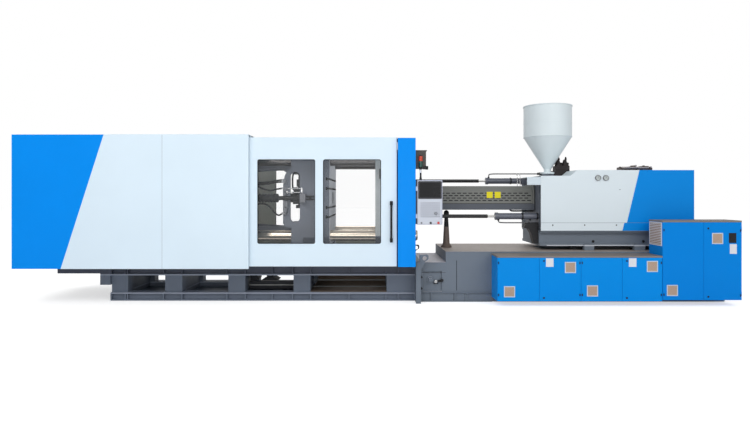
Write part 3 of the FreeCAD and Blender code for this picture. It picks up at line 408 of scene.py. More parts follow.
def make_pane_glass():
    """Clear window pane with a faint, slightly uneven shine."""
    material = paints["pane_clear"] = bpy.data.materials.new("pane_clear")
    material.use_nodes = True
    tree = material.node_tree
    shader = tree.nodes["Principled BSDF"].inputs
    shader["Base Color"].default_value = (0.95, 0.98, 1.0, 1)
    shader["Alpha"].default_value = 0.025
    shader["Specular IOR Level"].default_value = 0.08
    tree.links.new(spread(tree, object_noise(tree, 4), 0.04, 0.08), shader["Roughness"])


for make in (make_moving_platen_paint, make_base_paint, make_rear_paint, make_bed_paint,
             make_slide_paint, make_cover_paint, make_rod_paint, make_pane_glass):
    make()

# The CAD nodes that wear each finish; the window panes are left, and are clear.
WEARERS = {
    "base_paint": "clamp_base", "bed_paint": "injection_base", "slide_paint": "carriage_base",
    "slate_paint": "base_joint_flanges", "moving_platen_paint": "moving_platen",
    "casting_paint": "fixed_platen tail_platen crosshead upper_rear_links lower_rear_links "
                     "upper_front_links lower_front_links injection_housing feed_throat",
    "black_paint": "base_joint_bolts tie_bar_nuts adjusting_nuts clamp_cylinder "
                   "ejector_cylinder screw_motor hopper_gate main_switch panel_knob "
                   "signal_lamp",
    "bright_steel": "clamp_rod ejector_rod screw", "tie_bar_steel": "tie_bars",
    "blue_paint": "guard_front_blue guard_columns", "rear_paint": "guard_rear rear_door",
    "white_paint": "guard_front_white guard_roof front_door",
    "guard_frame_paint": "guard_frame", "rail_grey": "door_rails",
    "rubber_black": "front_door_handle", "rail_shade_black": "carriage_rails",
    "ground_steel": "barrel", "barrel_cover_paint": "barrel_cover",
    "cover_paint": "injection_cover", "mid_grey": "pressure_gauges", "hopper_paint": "hopper",
    "cylinder_grey": "carriage_cylinders", "rod_paint": "carriage_rods",
    "post_paint": "barrel_support", "tall_paint": "tall_cabinet tall_cabinet_door_left "
                                                  "tall_cabinet_door_right",
    "cabinet_paint": "low_cabinet low_cabinet_door_1 low_cabinet_door_2 low_cabinet_door_3 "
                     "low_cabinet_door_4",
    "panel_grey": "panel_case", "screen_glass": "panel_screen", "stop_red": "stop_button",
}


def dress_frame():
    """Give every CAD node its finish."""
    worn = {node: name for name, nodes in WEARERS.items() for node in nodes.split()}
    for name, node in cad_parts.items():
        material = paints[worn.get(name, "pane_clear")]
        if not node.material_slots:
            node.data.materials.append(material)
        for slot in node.material_slots:
            slot.material = material


# ---------------------------------------------------------------- building detail pieces
def span(sign, near, far):
    """Two distances from the middle plane as low and high Y on one side of it."""
    return sorted((sign * near, sign * far))


class Maker:
    """Collects simple solids into one mesh and finishes it as a piece on a body."""

    def __init__(self):
        self.mesh = bmesh.new()

    def block(self, low, high):
        """A square-edged solid between two corners."""
        made = bmesh.ops.create_cube(self.mesh, size=1)["verts"]
        low, high = Vector(low), Vector(high)
        bmesh.ops.scale(self.mesh, vec=high - low, verts=made)
        bmesh.ops.translate(self.mesh, vec=(high + low) / 2, verts=made)
        return self

    def flanks(self, x0, x1, near, far, z0, z1):
        """A block on each side of the middle plane, between two distances from it."""
        for _, sign in SIDES:
            low, high = span(sign, near, far)
            self.block((x0, low, z0), (x1, high, z1))
        return self

    def disc(self, axis, centre, radius, low, high, sides=32, top=None):
        """A round of radius, tapering to top, between two heights along axis x, y or z."""
        top = radius if top is None else top
        made = bmesh.ops.create_cone(self.mesh, cap_ends=True, segments=sides, radius1=radius,
                                     radius2=max(top, 1e-5), depth=abs(high - low))["verts"]
        bmesh.ops.translate(self.mesh, vec=Vector((0, 0, (low + high) / 2)), verts=made)
        turn = {"x": Matrix.Rotation(math.radians(90), 3, "Y"),
                "y": Matrix.Rotation(math.radians(-90), 3, "X"), "z": Matrix.Identity(3)}[axis]
        bmesh.ops.rotate(self.mesh, cent=(0, 0, 0), matrix=turn, verts=made)
        bmesh.ops.translate(self.mesh, vec=Vector(centre), verts=made)
        return self

    def skin(self, loops):
        """Faces between each loop of points and the next, and from the last to the first."""
        rows = [[self.mesh.verts.new(point) for point in loop] for loop in loops]
        for near, far in zip(rows, rows[1:] + rows[:1]):
            for i in range(len(near)):
                j = (i + 1) % len(near)
                self.mesh.faces.new((near[i], near[j], far[j], far[i]))
        return self

    def collar(self, axis, centre, bore, radius, low, high, sides=32):
        """An open ring between two heights along axis x or z, through centre."""
        x, y, z = centre
        loops = []
        for height, reach in ((low, bore), (low, radius), (high, radius), (high, bore)):
            turns = [2 * math.pi * i / sides for i in range(sides)]
            around = [(reach * math.cos(turn), reach * math.sin(turn)) for turn in turns]
            loops.append([(height, y + a, z + b) if axis == "x" else (x + a, y + b, height)
                          for a, b in around])
        return self.skin(loops)

    def ring(self, x0, x1, z0, z1, width, y0, y1):
        """A square-cornered frame of the given width, inside the outer edges."""
        for left, right, low, high in ((x0, x0 + width, z0, z1), (x1 - width, x1, z0, z1),
                                       (x0 + width, x1 - width, z0, z0 + width),
                                       (x0 + width, x1 - width, z1 - width, z1)):
            self.block((left, y0, low), (right, y1, high))
        return self

    def round_ring(self, x0, x1, z0, z1, radius, width, y0, y1, steps=4):
        """A frame of the given width with rounded corners, inside the outer edges."""
        loops = []
        for inset, sides in ((0, (y0, y1)), (width, (y1, y0))):
            bend = max(radius - inset, 0.002)
            left, right = x0 + inset + bend, x1 - inset - bend
            low, high = z0 + inset + bend, z1 - inset - bend
            outline = []
            for corner, (x, z) in enumerate(((right, high), (left, high), (left, low),
                                             (right, low))):
                for step in range(steps + 1):
                    turn = math.radians(90 * corner + 90 / steps * step)
                    outline.append((x + bend * math.cos(turn), z + bend * math.sin(turn)))
            loops += [[(x, y, z) for x, z in outline] for y in sides]
        return self.skin(loops)

    def prism(self, outline, y_low, y_high):
        """An (x, z) outline pulled along Y."""
        near = [self.mesh.verts.new((x, y_low, z)) for x, z in outline]
        far = [self.mesh.verts.new((x, y_high, z)) for x, z in outline]
        self.mesh.faces.new(near)
        self.mesh.faces.new(list(reversed(far)))
        for i in range(len(outline)):
            j = (i + 1) % len(outline)
            self.mesh.faces.new((near[j], near[i], far[i], far[j]))
        return self

    def data(self, name):
        """The collected solids as mesh data, with every face turned outwards."""
        bmesh.ops.recalc_face_normals(self.mesh, faces=self.mesh.faces)
        data = bpy.data.meshes.new(name)
        self.mesh.to_mesh(data)
        self.mesh.free()
        return data

    def done(self, name, material, body, slot="black_steel", bevel=0.0015):
        """The collected solids as a finished piece."""
        return settle(name, self.data(name), material, body, bevel)


def settle(name, data, material, body, bevel=0.0):
    """A piece with its finish, its soft edges and the body that it rides on."""
    piece = link(name, data)
    data.materials.clear()
    data.materials.append(paints[material])
    for face in data.polygons:
        face.use_smooth = True
    if bevel:
        edge = piece.modifiers.new("soft_edges", "BEVEL")
        edge.width, edge.segments, edge.limit_method = bevel, 2, "ANGLE"
        edge.angle_limit = math.radians(40)
        piece.modifiers.new("flat_faces", "WEIGHTED_NORMAL")
    else:
        data.set_sharp_from_angle(angle=math.radians(40))
    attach(piece, body)
    return piece


def as_mesh(holder):
    """What an object's curve or modifier makes, as plain mesh data."""
    bpy.context.view_layer.update()
    graph = bpy.context.evaluated_depsgraph_get()
    return bpy.data.meshes.new_from_object(holder.evaluated_get(graph))


def hose(name, points, radius, material, body):
    """A smooth round line through given points, turned into a mesh."""
    curve = bpy.data.curves.new(name, "CURVE")
    curve.dimensions = "3D"
    curve.bevel_depth, curve.bevel_resolution = radius, 2
    curve.use_fill_caps = True
    line = curve.splines.new("NURBS")
    line.points.add(len(points) - 1)
    for point, place in zip(line.points, points):
        point.co = (*place, 1)
    line.use_endpoint_u, line.order_u, line.resolution_u = True, 3, 8
    holder = link(name + "_line", curve)
    data = as_mesh(holder)
    bpy.data.objects.remove(holder)
    return settle(name, data, material, body)


def make_repeat_tree():
    """Geometry nodes: copies of a unit in columns and rows, odd rows set back."""
    tree = bpy.data.node_groups.new("columns_and_rows", "GeometryNodeTree")
    face = tree.interface
    face.new_socket("Geometry", in_out="OUTPUT", socket_type="NodeSocketGeometry")
    kinds = (("Unit", "Object"), ("Material", "Material"), ("Columns", "Int"), ("Rows", "Int"),
             ("Column step", "Vector"), ("Row step", "Vector"), ("Set back", "Vector"),
             ("Start", "Vector"))
    for name, kind in kinds:
        face.new_socket(name, in_out="INPUT", socket_type="NodeSocket" + kind)
    given = tree.nodes.new("NodeGroupInput").outputs

    def node(kind, *sources, **named):
        """A node of this kind, with sockets joined to its first or its named inputs."""
        made = tree.nodes.new(kind)
        joins = list(zip(made.inputs, sources))
        joins += [(made.inputs[name], source) for name, source in named.items()]
        for socket, source in joins:
            tree.links.new(source, socket)
        return made

    def moved(place, step, times):
        """A place moved by a step vector, taken a number of times."""
        scale = node("ShaderNodeVectorMath", step)
        scale.operation = "SCALE"
        tree.links.new(times, scale.inputs["Scale"])
        return node("ShaderNodeVectorMath", place, scale.outputs[0]).outputs[0]

    index = tree.nodes.new("GeometryNodeInputIndex").outputs[0]
    row = compute(tree, "MODULO", index, given["Rows"])
    column = compute(tree, "FLOOR", compute(tree, "DIVIDE", index, given["Rows"]))
    place = moved(given["Start"], given["Column step"], column)
    place = moved(place, given["Row step"], row)
    place = moved(place, given["Set back"], compute(tree, "MODULO", row, 2))
    points = node("GeometryNodePoints", Position=place,
                  Count=compute(tree, "MULTIPLY", given["Rows"], given["Columns"]))
    unit = node("GeometryNodeObjectInfo", Object=given["Unit"])
    copies = node("GeometryNodeInstanceOnPoints", Points=points.outputs[0],
                  Instance=unit.outputs["Geometry"])
    real = node("GeometryNodeRealizeInstances", Geometry=copies.outputs[0])
    coat = node("GeometryNodeSetMaterial", Geometry=real.outputs[0], Material=given["Material"])
    node("NodeGroupOutput", coat.outputs[0])
    return tree


REPEAT_TREE = make_repeat_tree()


def repeat(name, unit, columns, rows, column_step, row_step, start, material, body,
           set_back=(0, 0, 0)):
    """Copies of a Maker's solids, made by the repeat tree and kept as one plain mesh."""
    pattern = link(name + "_unit", unit.data(name + "_unit"))
    holder = link(name + "_points", bpy.data.meshes.new(name + "_points"))
    grow = holder.modifiers.new("repeat", "NODES")
    grow.node_group = REPEAT_TREE
    values = {"Unit": pattern, "Material": paints[material], "Columns": columns,
              "Rows": rows, "Column step": column_step, "Row step": row_step,
              "Set back": set_back, "Start": start}
    for socket in REPEAT_TREE.interface.items_tree:
        if socket.in_out == "INPUT":
            grow[socket.identifier] = values[socket.name]
    result = as_mesh(holder)
    for item in (holder, pattern):
        bpy.data.objects.remove(item)
    return settle(name, result, material, body)


make_camera()
make_world()
make_floor()
make_area("key_light", (-5, -9, 8), (0, 0, 1), (9, 4), 375)
make_area("fill_light", (6, -9, 6), (1, 0, 1), (9, 4), 238)
make_area("low_light", (0, -11, 1.6), (0, 0, 1.5), (10, 2), 145)
make_area("back_light", (0, 8, 8), (0, 0, 1), (12, 4), 300)
dress_frame()

# ---------------------------------------------------------------- clamp side details
PANES = {"front_door": ((-1.685, -0.869), (-0.758, 0.060)),
         "rear_door": ((-1.790, -1.100), (-0.990, 0.120))}
PANE_LOW, PANE_HIGH = 0.877, 2.069
PLATEN_FLANK = -0.709       # front face of the moving platen's side web


def make_window_trim():
    """Rubber glazing strips in both doors' windows, then pressed mouldings round them."""
    for kind, material, grow, radius, width, near, far, bevel in (
            ("seals", "rubber_black", 0, 0.028, 0.009, 1.029, 1.052, 0.002),
            ("mouldings", "white_paint", 0.020, 0.048, 0.017, 1.0648, 1.0672, 0.001)):
        for side, sign in SIDES:
            trim, body = Maker(), side + "_door"
            for left, right in PANES[body]:
                trim.round_ring(left - grow, right + grow, PANE_LOW - grow, PANE_HIGH + grow,
                                radius, width, *span(sign, near, far))
            trim.done(body + "_window_" + kind, material, body, "panel_white", bevel)


def make_guard_trim():
    """The door's closing seal, the shadow gaps of the guards and the handle's sleeves."""
    Maker().block((0.272, -1.064, 0.565), (0.288, -1.030, 2.373)).done(
        "front_door_closing_seal", "rubber_black", "front_door")
    for side, sign in SIDES:
        near, far = span(sign, 1.1195, 1.1204)
        Maker().block((-3.0095, near, 0.532), (-3.0055, far, 2.411)).done(
            "guard_seam_" + side, "lip_grey", "frame", "rear_panel", 0)
    sleeves = Maker()
    for low, high in ((0.900, 0.958), (1.422, 1.481)):
        sleeves.disc("z", (0.204, -1.103, 0), 0.0205, low, high)
    sleeves.done("door_handle_sleeves", "rubber_black", "front_door", bevel=0.003)


def make_platen_hoses():
    """The toothed safety bar beside the platen, and the four hoses that run along it."""
    bar, hoses = -0.780, -0.752
    Maker().disc("x", (0, bar, AXIS), 0.050, -2.12, -1.43).disc(
        "x", (0, bar, AXIS), 0.030, -1.43, -1.10).done(
        "safety_bar", "black_paint", "platen", bevel=0.004)
    tooth = Maker().disc("x", (0, 0, 0), 0.063, -0.011, 0.011, sides=24)
    repeat("safety_bar_teeth", tooth, 16, 1, (0.042, 0, 0), (0, 0, 0), (-2.08, bar, AXIS),
           "rubber_black", "platen")
    Maker().block((-1.119, -0.835, AXIS - 0.062), (-1.036, PLATEN_FLANK, AXIS + 0.062)).done(
        "safety_bar_clamp", "mid_grey", "platen", bevel=0.004)
    Maker().block((-2.130, -0.835, 1.42), (-2.118, -0.715, 1.80)).done(
        "hose_holder", "mid_grey", "platen", bevel=0.002)
    rods = Maker().disc("x", (0, -0.728, AXIS + 0.022), 0.011, -1.05, -0.84)
    rods.disc("x", (0, -0.728, AXIS - 0.022), 0.009, -1.05, -0.84)
    for x in (-0.99, -0.87):
        rods.block((x, -0.735, AXIS - 0.035), (x + 0.018, PLATEN_FLANK, AXIS + 0.036))
    rods.done("platen_side_rods", "black_paint", "platen")
    routes = {
        "upper_hose": ((-2.118, 1.74), (-1.98, 1.735), (-1.80, 1.740), (-1.66, 1.748),
                       (-1.52, 1.762), (-1.44, 1.785), (-1.376, 1.786)),
        "upper_twin_hose": ((-2.118, 1.705), (-1.98, 1.706), (-1.80, 1.712), (-1.66, 1.722),
                            (-1.54, 1.738), (-1.45, 1.757), (-1.376, 1.758)),
        "middle_hose": ((-2.118, 1.775), (-1.95, 1.760), (-1.80, 1.722), (-1.70, 1.672),
                        (-1.62, 1.640), (-1.54, 1.632), (-1.46, 1.655), (-1.376, 1.664)),
        "lower_hose": ((-2.118, 1.44), (-1.95, 1.425), (-1.78, 1.430), (-1.66, 1.445),
                       (-1.58, 1.415), (-1.51, 1.330), (-1.46, 1.275), (-1.42, 1.268),
                       (-1.376, 1.300)),
    }
    unions = Maker()
    for name, route in routes.items():
        hose(name, [(x, hoses, z) for x, z in route], 0.0125, "rubber_black", "platen")
        unions.disc("x", (0, hoses, route[-1][1]), 0.017, -1.392, -1.352, sides=6)
    unions.done("hose_unions", "bright_steel", "platen", "gauge", 0.001)


def make_platen_valves():
    """Valve blocks on the platen's back and on its side web, with pipes and hoses."""
    fittings = Maker()
    for z0, z1, x1 in ((1.742, 1.800, -1.325), (1.625, 1.692, -1.312), (1.558, 1.598, -1.325),
                       (1.390, 1.480, -1.300), (1.302, 1.376, -1.318), (1.275, 1.300, -1.330)):
        fittings.block((-1.366, -0.772, z0), (x1, PLATEN_FLANK, z1))
    fittings.done("web_fittings", "mid_grey", "platen", bevel=0.006)
    blocks = Maker()
    for x0, z0, z1 in ((-1.195, 1.690, 1.800), (-1.240, 1.585, 1.682), (-1.222, 1.500, 1.570),
                       (-1.250, 1.430, 1.485), (-1.205, 1.370, 1.418)):
        blocks.block((x0, -0.600, z0), (-1.086, -0.480, z1))
    for x in (-1.160, -1.118):
        blocks.disc("z", (x, -0.54, 0), 0.017, 1.800, 1.840, sides=6)
    blocks.block((-1.176, -0.57, 1.412), (-1.150, -0.51, 1.700))
    blocks.done("platen_valves", "black_paint", "platen", bevel=0.004)
    pipes = Maker()
    for z in (1.661, 1.604):
        pipes.disc("x", (0, -0.722, z), 0.0065, -1.330, -1.095)
    for x, z in ((-1.225, 1.661), (-1.165, 1.661), (-1.240, 1.604), (-1.128, 1.604)):
        pipes.disc("x", (0, -0.722, z), 0.0125, x, x + 0.028, sides=6)
    for x in (-1.325, -1.108):
        pipes.block((x, -0.724, 1.592), (x + 0.014, PLATEN_FLANK, 1.674))
    pipes.done("platen_cross_pipes", "bright_steel", "platen", "gauge", 0.001)
    hose("platen_valve_hose_a", [
        (-1.160, -0.54, 1.835), (-1.160, -0.54, 1.895), (-1.235, -0.54, 1.905),
        (-1.262, -0.54, 1.86), (-1.262, -0.55, 1.76), (-1.258, -0.56, 1.66),
        (-1.238, -0.56, 1.64)], 0.013, "rubber_black", "platen")
    hose("platen_valve_hose_b", [
        (-1.118, -0.54, 1.835), (-1.118, -0.54, 1.90), (-1.080, -0.50, 1.96),
        (-1.020, -0.42, 2.05), (-1.020, -0.36, 2.15), (-1.020, -0.36, 2.236)], 0.013,
        "rubber_black", "platen")


def make_base_linings():
    """What shows in the base's openings: the product chute, the oil tray and its mounts."""
    left, right, floor, roof = -0.9885, 0.1485, 0.1215, 0.3755
    Maker().block((left, 0.585, floor), (right, 0.597, roof)).block(
        (left, -0.59, floor), (right, 0.585, 0.137)).done(
        "product_chute", "chute_brown", "frame", "dark_iron", 0.001)
    edges = Maker()
    for y, z in ((-0.42, 0.268), (-0.38, 0.165)):
        edges.block((left, y, z), (right, y + 0.018, z + 0.010))
    edges.done("chute_edges", "rail_grey", "frame", "dark_iron", 0.001)
    left, right = -1.9605, -1.2395
    tray = Maker().block((left, -0.30, floor), (right, -0.28, 0.240))
    tray.block((left, -0.28, floor), (right, 0.56, 0.128))
    tray.block((left, -0.25, 0.240), (-1.852, 0.10, roof))
    tray.block((-1.715, -0.20, 0.240), (-1.614, 0.05, roof))
    tray.prism([(-1.80, 0.240), (-1.53, 0.240), (-1.62, 0.290), (-1.71, 0.290)], -0.22, 0.06)
    tray.done("oil_tray", "box_dark", "frame", "dark_iron", 0.002)
    Maker().block((left, -0.308, 0.172), (right, -0.299, 0.190)).done(
        "oil_tray_lip", "slot_pale", "frame", "dark_iron", 0.001)


def make_mould_space_details():
    """Slot plugs and shoulders of the moving platen, side plates and hook of the fixed one."""
    plugs, shoulders, pitch = Maker(), Maker(), 0.140
    for step in (-2, -1, 1, 2):
        z = AXIS + step * pitch
        plugs.flanks(-0.7275, -0.6965, 0.60, 0.7125, z - 0.0138, z + 0.0138)
        plugs.flanks(-0.7505, -0.7265, 0.60, 0.7125, z - 0.0228, z + 0.0228)
    plugs.done("slot_plugs", "rubber_black", "platen", bevel=0.001)
    lower = [(-1.261, 0.815), (-1.085, 0.815), (-1.085, 1.175), (-1.200, 1.175), (-1.261, 1.120)]
    upper = [(-1.200, 1.930), (-1.085, 1.930), (-1.085, 2.229), (-1.261, 2.229), (-1.261, 1.985)]
    for _, sign in SIDES:
        for outline in (lower, upper):
            shoulders.prism(outline, *span(sign, 0.655, 0.704))
    shoulders.done("platen_shoulders", "casting_paint", "platen", "dark_iron", 0.004)
    Maker().flanks(-0.0195, 0.120, 0.7095, 0.716, 0.960, 2.090).done(
        "fixed_platen_side_plates", "plate_pale", "frame", "dark_iron", 0.001)
    Maker().block((0.040, -0.745, 1.800), (0.062, -0.716, 1.950)).block(
        (0.062, -0.745, 1.925), (0.130, -0.716, 1.950)).done(
        "fixed_platen_hook", "rubber_black", "frame", bevel=0.003)


def make_terminal_box():
    """Dark terminal box on the column beside the signal lamp, with its gland and conduit."""
    Maker().block((0.5445, -1.045, 1.936), (0.697, -0.985, 2.190)).block(
        (0.5445, -1.050, 2.186), (0.709, -0.980, 2.200)).done(
        "terminal_box", "box_grey", "frame", "frame_grey", 0.003)
    Maker().disc("x", (0, -1.015, 1.952), 0.026, 0.690, 0.728, sides=24).block(
        (0.655, -1.052, 1.930), (0.700, -0.99, 1.974)).done(
        "terminal_box_knob", "black_paint", "frame", bevel=0.002)
    run = [(0.515, -0.912, z) for z in (1.86, 1.70, 1.20, 0.80, 0.625)]
    hose("terminal_conduit", [(0.575, -0.987, 1.99), (0.565, -0.965, 1.99),
                              (0.535, -0.925, 1.96), *run], 0.011, "rubber_black", "frame")


def make_signal_lamp():
    """The lamp as photographed: foot, pole, black base, dark green lens under a red one."""
    low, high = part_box("signal_lamp")
    middle = ((low[0] + high[0]) / 2, (low[1] + high[1]) / 2, 0)
    wide, foot, tip = (high[0] - low[0]) / 2, low[2], high[2]
    pole_end, sleeve_end, base_end, green_end, red_end = 1.880, 1.925, 1.962, 2.044, 2.113
    pole = Maker().disc("z", middle, wide * 0.8, foot, foot + 0.010)
    pole.disc("z", middle, wide * 0.62, foot + 0.010, foot + 0.045, top=0.014)
    pole.disc("z", middle, 0.013, foot + 0.014, pole_end)
    pole.disc("z", middle, wide * 0.72, sleeve_end, base_end)
    pole.disc("z", middle, wide * 0.9, red_end, tip, top=wide * 0.7)
    pole.done("signal_lamp_pole", "black_paint", "console", "black_plastic", 0.002)
    Maker().disc("z", middle, 0.015, pole_end, sleeve_end).done(
        "signal_lamp_sleeve", "label_plain", "console", "lamp", 0.001)
    steps = 5
    for name, z0, z1 in (("green", base_end, green_end), ("red", green_end, red_end)):
        lens, rib = Maker(), (z1 - z0) / steps
        for step in range(steps):
            start = z0 + rib * step
            lens.disc("z", middle, wide * 0.94, start, start + rib * 0.7)
            lens.disc("z", middle, wide * 0.88, start + rib * 0.7, start + rib)
        lens.done("signal_lens_" + name, "lamp_" + name, "console", "lamp",
                                0.0008)
    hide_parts("signal_lamp")


# ---------------------------------------------------------------- operator's panel
def make_keypad():
    """Membrane keys in rows, the screen's bezel, the case's rim and the hinge strip."""
    face, body, black = -1.112, "console", "black_plastic"
    key = Maker().block((-0.0075, -0.0018, -0.0062), (0.0075, 0, 0.0062))
    repeat("panel_keys", key, 9, 7, (0.0306, 0, 0), (0, 0, -0.0315),
           (0.627, face + 0.0002, 1.454), "key_grey", body)
    arrows = Maker()
    for x, z in ((0.829, 1.322), (0.829, 1.290), (0.812, 1.306), (0.846, 1.306)):
        arrows.disc("y", (x, 0, z), 0.0085, face - 0.004, face, sides=6)
    arrows.done("panel_arrow_keys", "bezel_black", body, black, 0.0008)
    Maker().round_ring(0.580, 0.911, 1.511, 1.760, 0.014, 0.022, face - 0.0035,
                       face + 0.002).done("screen_bezel", "bezel_black", body, black, 0.0015)
    Maker().round_ring(0.569, 0.920, 1.150, 1.776, 0.012, 0.009, face - 0.0028,
                       face + 0.001).done("panel_rim", "rim_silver", body, "console_grey", 0.001)
    Maker().disc("y", (0.627, 0, 1.175), 0.012, face - 0.007, face).done(
        "panel_key_switch", "mid_grey", body, "gauge")
    Maker().block((0.5465, -1.106, 1.158), (0.5685, -1.060, 1.768)).done(
        "panel_hinge_strip", "navy_rubber", body, black, 0.002)


# ---------------------------------------------------------------- injection side details
COVER_FACE = -0.560         # operator's face of the injection cover
HOPPER = (2.728, 0, 0)


def make_slot_rows():
    """Staggered rows of round-ended slots on both sides of the barrel cover."""
    half, radius, steps = 0.024, 0.0075, 6
    turns = [math.pi * step / steps for step in range(steps + 1)]
    outline = [(half + radius * math.sin(a), radius * math.cos(a)) for a in turns]
    outline += [(-x, -z) for x, z in outline]
    for side, sign in SIDES:
        repeat("barrel_slots_" + side, Maker().prism(outline, *span(sign, 0, 0.0009)), 19, 4,
               (0.0875, 0, 0), (0, 0, -0.038), (0.765, sign * 0.186, 1.596), "slot_dark",
               "carriage", set_back=(0.0437, 0, 0))


def make_barrel_cover_details():
    """Seams and the two plain plates on the barrel cover, and the conduit under it."""
    Maker().flanks(0.692, 2.434, 0.1855, 0.1868, 1.430, 1.437).done(
        "barrel_cover_seams", "slot_dark", "carriage", "cover_mesh", 0)
    plates = Maker()
    for x in (1.721, 1.846):
        plates.block((x, -0.1878, 1.521), (x + 0.094, -0.1862, 1.618))
    plates.done("barrel_cover_plates", "label_yellow", "carriage", "cover_mesh", 0.0005)
    hose("heater_conduit", [(x, -0.13, z) for x, z in (
        (2.095, 1.345), (2.105, 1.320), (2.16, 1.316), (2.30, 1.318), (2.40, 1.316),
        (2.47, 1.320))], 0.0125, "rubber_black", "carriage")


def make_cover_details():
    """Seam, screws, latch slot and cylinder bracket of the injection cover."""
    side, body = COVER_FACE, "carriage"
    Maker().block((2.462, side - 0.0006, 1.149), (4.755, side + 0.001, 1.153)).done(
        "cover_seams", "seam_grey", body, "cover_white", 0)
    screws = Maker()
    for x in (2.637, 3.115, 3.591, 4.10, 4.58):
        screws.disc("y", (x, 0, 1.116), 0.010, side - 0.005, side, sides=24)
    screws.done("cover_screws", "black_paint", body, bevel=0.001)
    Maker().block((3.632, side - 0.004, 1.645), (3.656, side, 1.652)).done(
        "cover_latch_slot", "seam_grey", body, "gauge", 0.001)
    Maker().block((2.255, -0.558, 1.717), (2.4615, -0.545, 1.837)).block(
        (2.255, -0.545, 1.825), (2.4615, -0.30, 1.837)).done(
        "cylinder_bracket", "bracket_white", body, "cover_white", 0.006)


def make_cover_top():
    """Valve group with its pipes on top of the cover, and the motor beside the hopper."""
    valve = Maker().block((3.83, -0.10, 1.9405), (4.40, 0.10, 1.958))
    for x, wide, high in ((3.86, 0.05, 2.008), (3.93, 0.07, 1.994), (4.02, 0.09, 2.022),
                          (4.13, 0.06, 2.006), (4.21, 0.10, 2.028), (4.32, 0.05, 2.000)):
        valve.block((x, -0.07, 1.958), (x + wide, 0.07, high))
        valve.disc("z", (x + wide / 2, 0, 0), 0.018, high, high + 0.012, sides=6)
    valve.done("cover_top_valve", "valve_brown", "carriage", "frame_grey", 0.003)
    pipes = Maker().disc("x", (0, -0.085, 2.000), 0.012, 3.88, 4.30)
    pipes.disc("x", (0, 0.085, 2.012), 0.012, 3.95, 4.36)
    pipes.disc("y", (4.10, 0, 2.030), 0.014, -0.09, 0.09)
    pipes.disc("y", (4.34, 0, 2.010), 0.012, -0.09, 0.09)
    pipes.done("cover_top_pipes", "valve_pale", "carriage", "gauge", 0.001)
    motor = Maker().block((2.80, -0.09, 1.8545), (3.070, 0.09, 1.950))
    motor.block((2.835, -0.08, 1.950), (3.055, 0.08, 2.030))
    for x, peak in ((2.900, 2.168), (3.010, 2.176)):
        motor.disc("z", (x, 0, 0), 0.058, 2.030, 2.085, top=0.044, sides=10)
        motor.disc("z", (x - 0.006, 0, 0), 0.038, 2.085, 2.130, top=0.026, sides=8)
        motor.disc("z", (x + 0.008, 0, 0), 0.022, 2.130, peak, top=0.010, sides=8)
        motor.disc("x", (0, 0, 2.070), 0.016, x - 0.066, x + 0.056, sides=8)
    motor.done("hopper_side_motor", "motor_black", "carriage", bevel=0.006)


def make_gauge_faces():
    """White dials with plain black ticks and a black pointer."""
    height, reach, count = 1.822, 0.029, 9
    for index, x in enumerate((3.313, 3.431)):
        Maker().disc("y", (x, 0, height), 0.037, -0.5752, -0.573).done(
            "gauge_face_%d" % index, "dial_white", "carriage", "gauge", 0)
        ticks = Maker()
        for step in range(count):
            turn = math.radians(-135 + step * 33.75)
            across, up = x + reach * math.sin(turn), height + reach * math.cos(turn)
            ticks.block((across - 0.0012, -0.5764, up - 0.0035),
                        (across + 0.0012, -0.575, up + 0.0035))
        ticks.block((x - 0.0015, -0.577, 1.816), (x + 0.0015, -0.575, 1.846))
        ticks.done("gauge_ticks_%d" % index, "black_paint", "carriage", "gauge", 0)


def make_cylinder_pipes():
    """Oil pipes along the two carriage cylinders with their fittings and end glands."""
    fittings, body, start, end = Maker(), "carriage", 1.862, 2.345
    for name, sign, y, z, reach in (("lower", -1, -0.375, 1.243, -0.100),
                                    ("upper", 1, 0.375, 1.801, 0.118)):
        skin, far = z + sign * 0.047, z + reach
        bend = far - sign * 0.02
        route = [(start, skin), (start, bend), (1.885, far), (2.10, far)]
        route += ([(2.40, far), (2.60, far), (2.690, far)] if sign > 0 else
                  [(2.32, far), (end, bend), (end, skin)])
        hose(name + "_cylinder_pipe", [(x, y, height) for x, height in route], 0.0095,
             "pipe_grey", body)
        for x in (start, end) if sign < 0 else (start,):
            fittings.disc("z", (x, y, 0), 0.018,
                          *sorted((skin - sign * 0.003, skin + sign * 0.02)), sides=6)
        for x in (1.822, 2.215, 2.440):
            fittings.collar("x", (0, y, z), 0.0475, 0.0545, x, x + 0.020)
    fittings.done("cylinder_fittings", "black_paint", body)
    side = 0.375 - 0.062
    for index, x in enumerate((2.324, 2.370)):
        route = [(side, 1.54), (side, 1.62), (side, 1.75), (side, 1.86),
                 (side + 0.022, 1.912), (0.375, 1.919)]
        hose("cylinder_riser_%d" % index, [(x, y, z) for y, z in route], 0.0065,
             "bright_steel", body)


def make_slide_bolts():
    """One hexagon bolt head over each of the carriage's rail blocks."""
    for side, sign in SIDES:
        bolts = Maker()
        for x in (3.273, 4.033):
            bolts.disc("y", (x, 0, 0.866), 0.021, *span(sign, 0.475, 0.487), sides=6)
        bolts.done("slide_bolts_" + side, "black_paint", "carriage", bevel=0.001)


def make_hopper_beads():
    """Two weld beads round the outside of the hopper."""
    beads, bore = Maker(), 0.3702
    beads.collar("z", HOPPER, bore, 0.3745, 2.480, 2.492, sides=96)
    beads.collar("z", HOPPER, bore, 0.3735, 2.700, 2.706, sides=96)
    beads.done("hopper_beads", "hopper_paint", "carriage", "hopper_white", 0.002)


# ---------------------------------------------------------------- cabinet details
LOW_SEAMS = (1.690, 2.278, 2.862, 3.439, 4.001)
TALL = (4.004, 4.580, 5.114)
DOOR_FACE = -1.116
CABINET = "cabinet_grey"


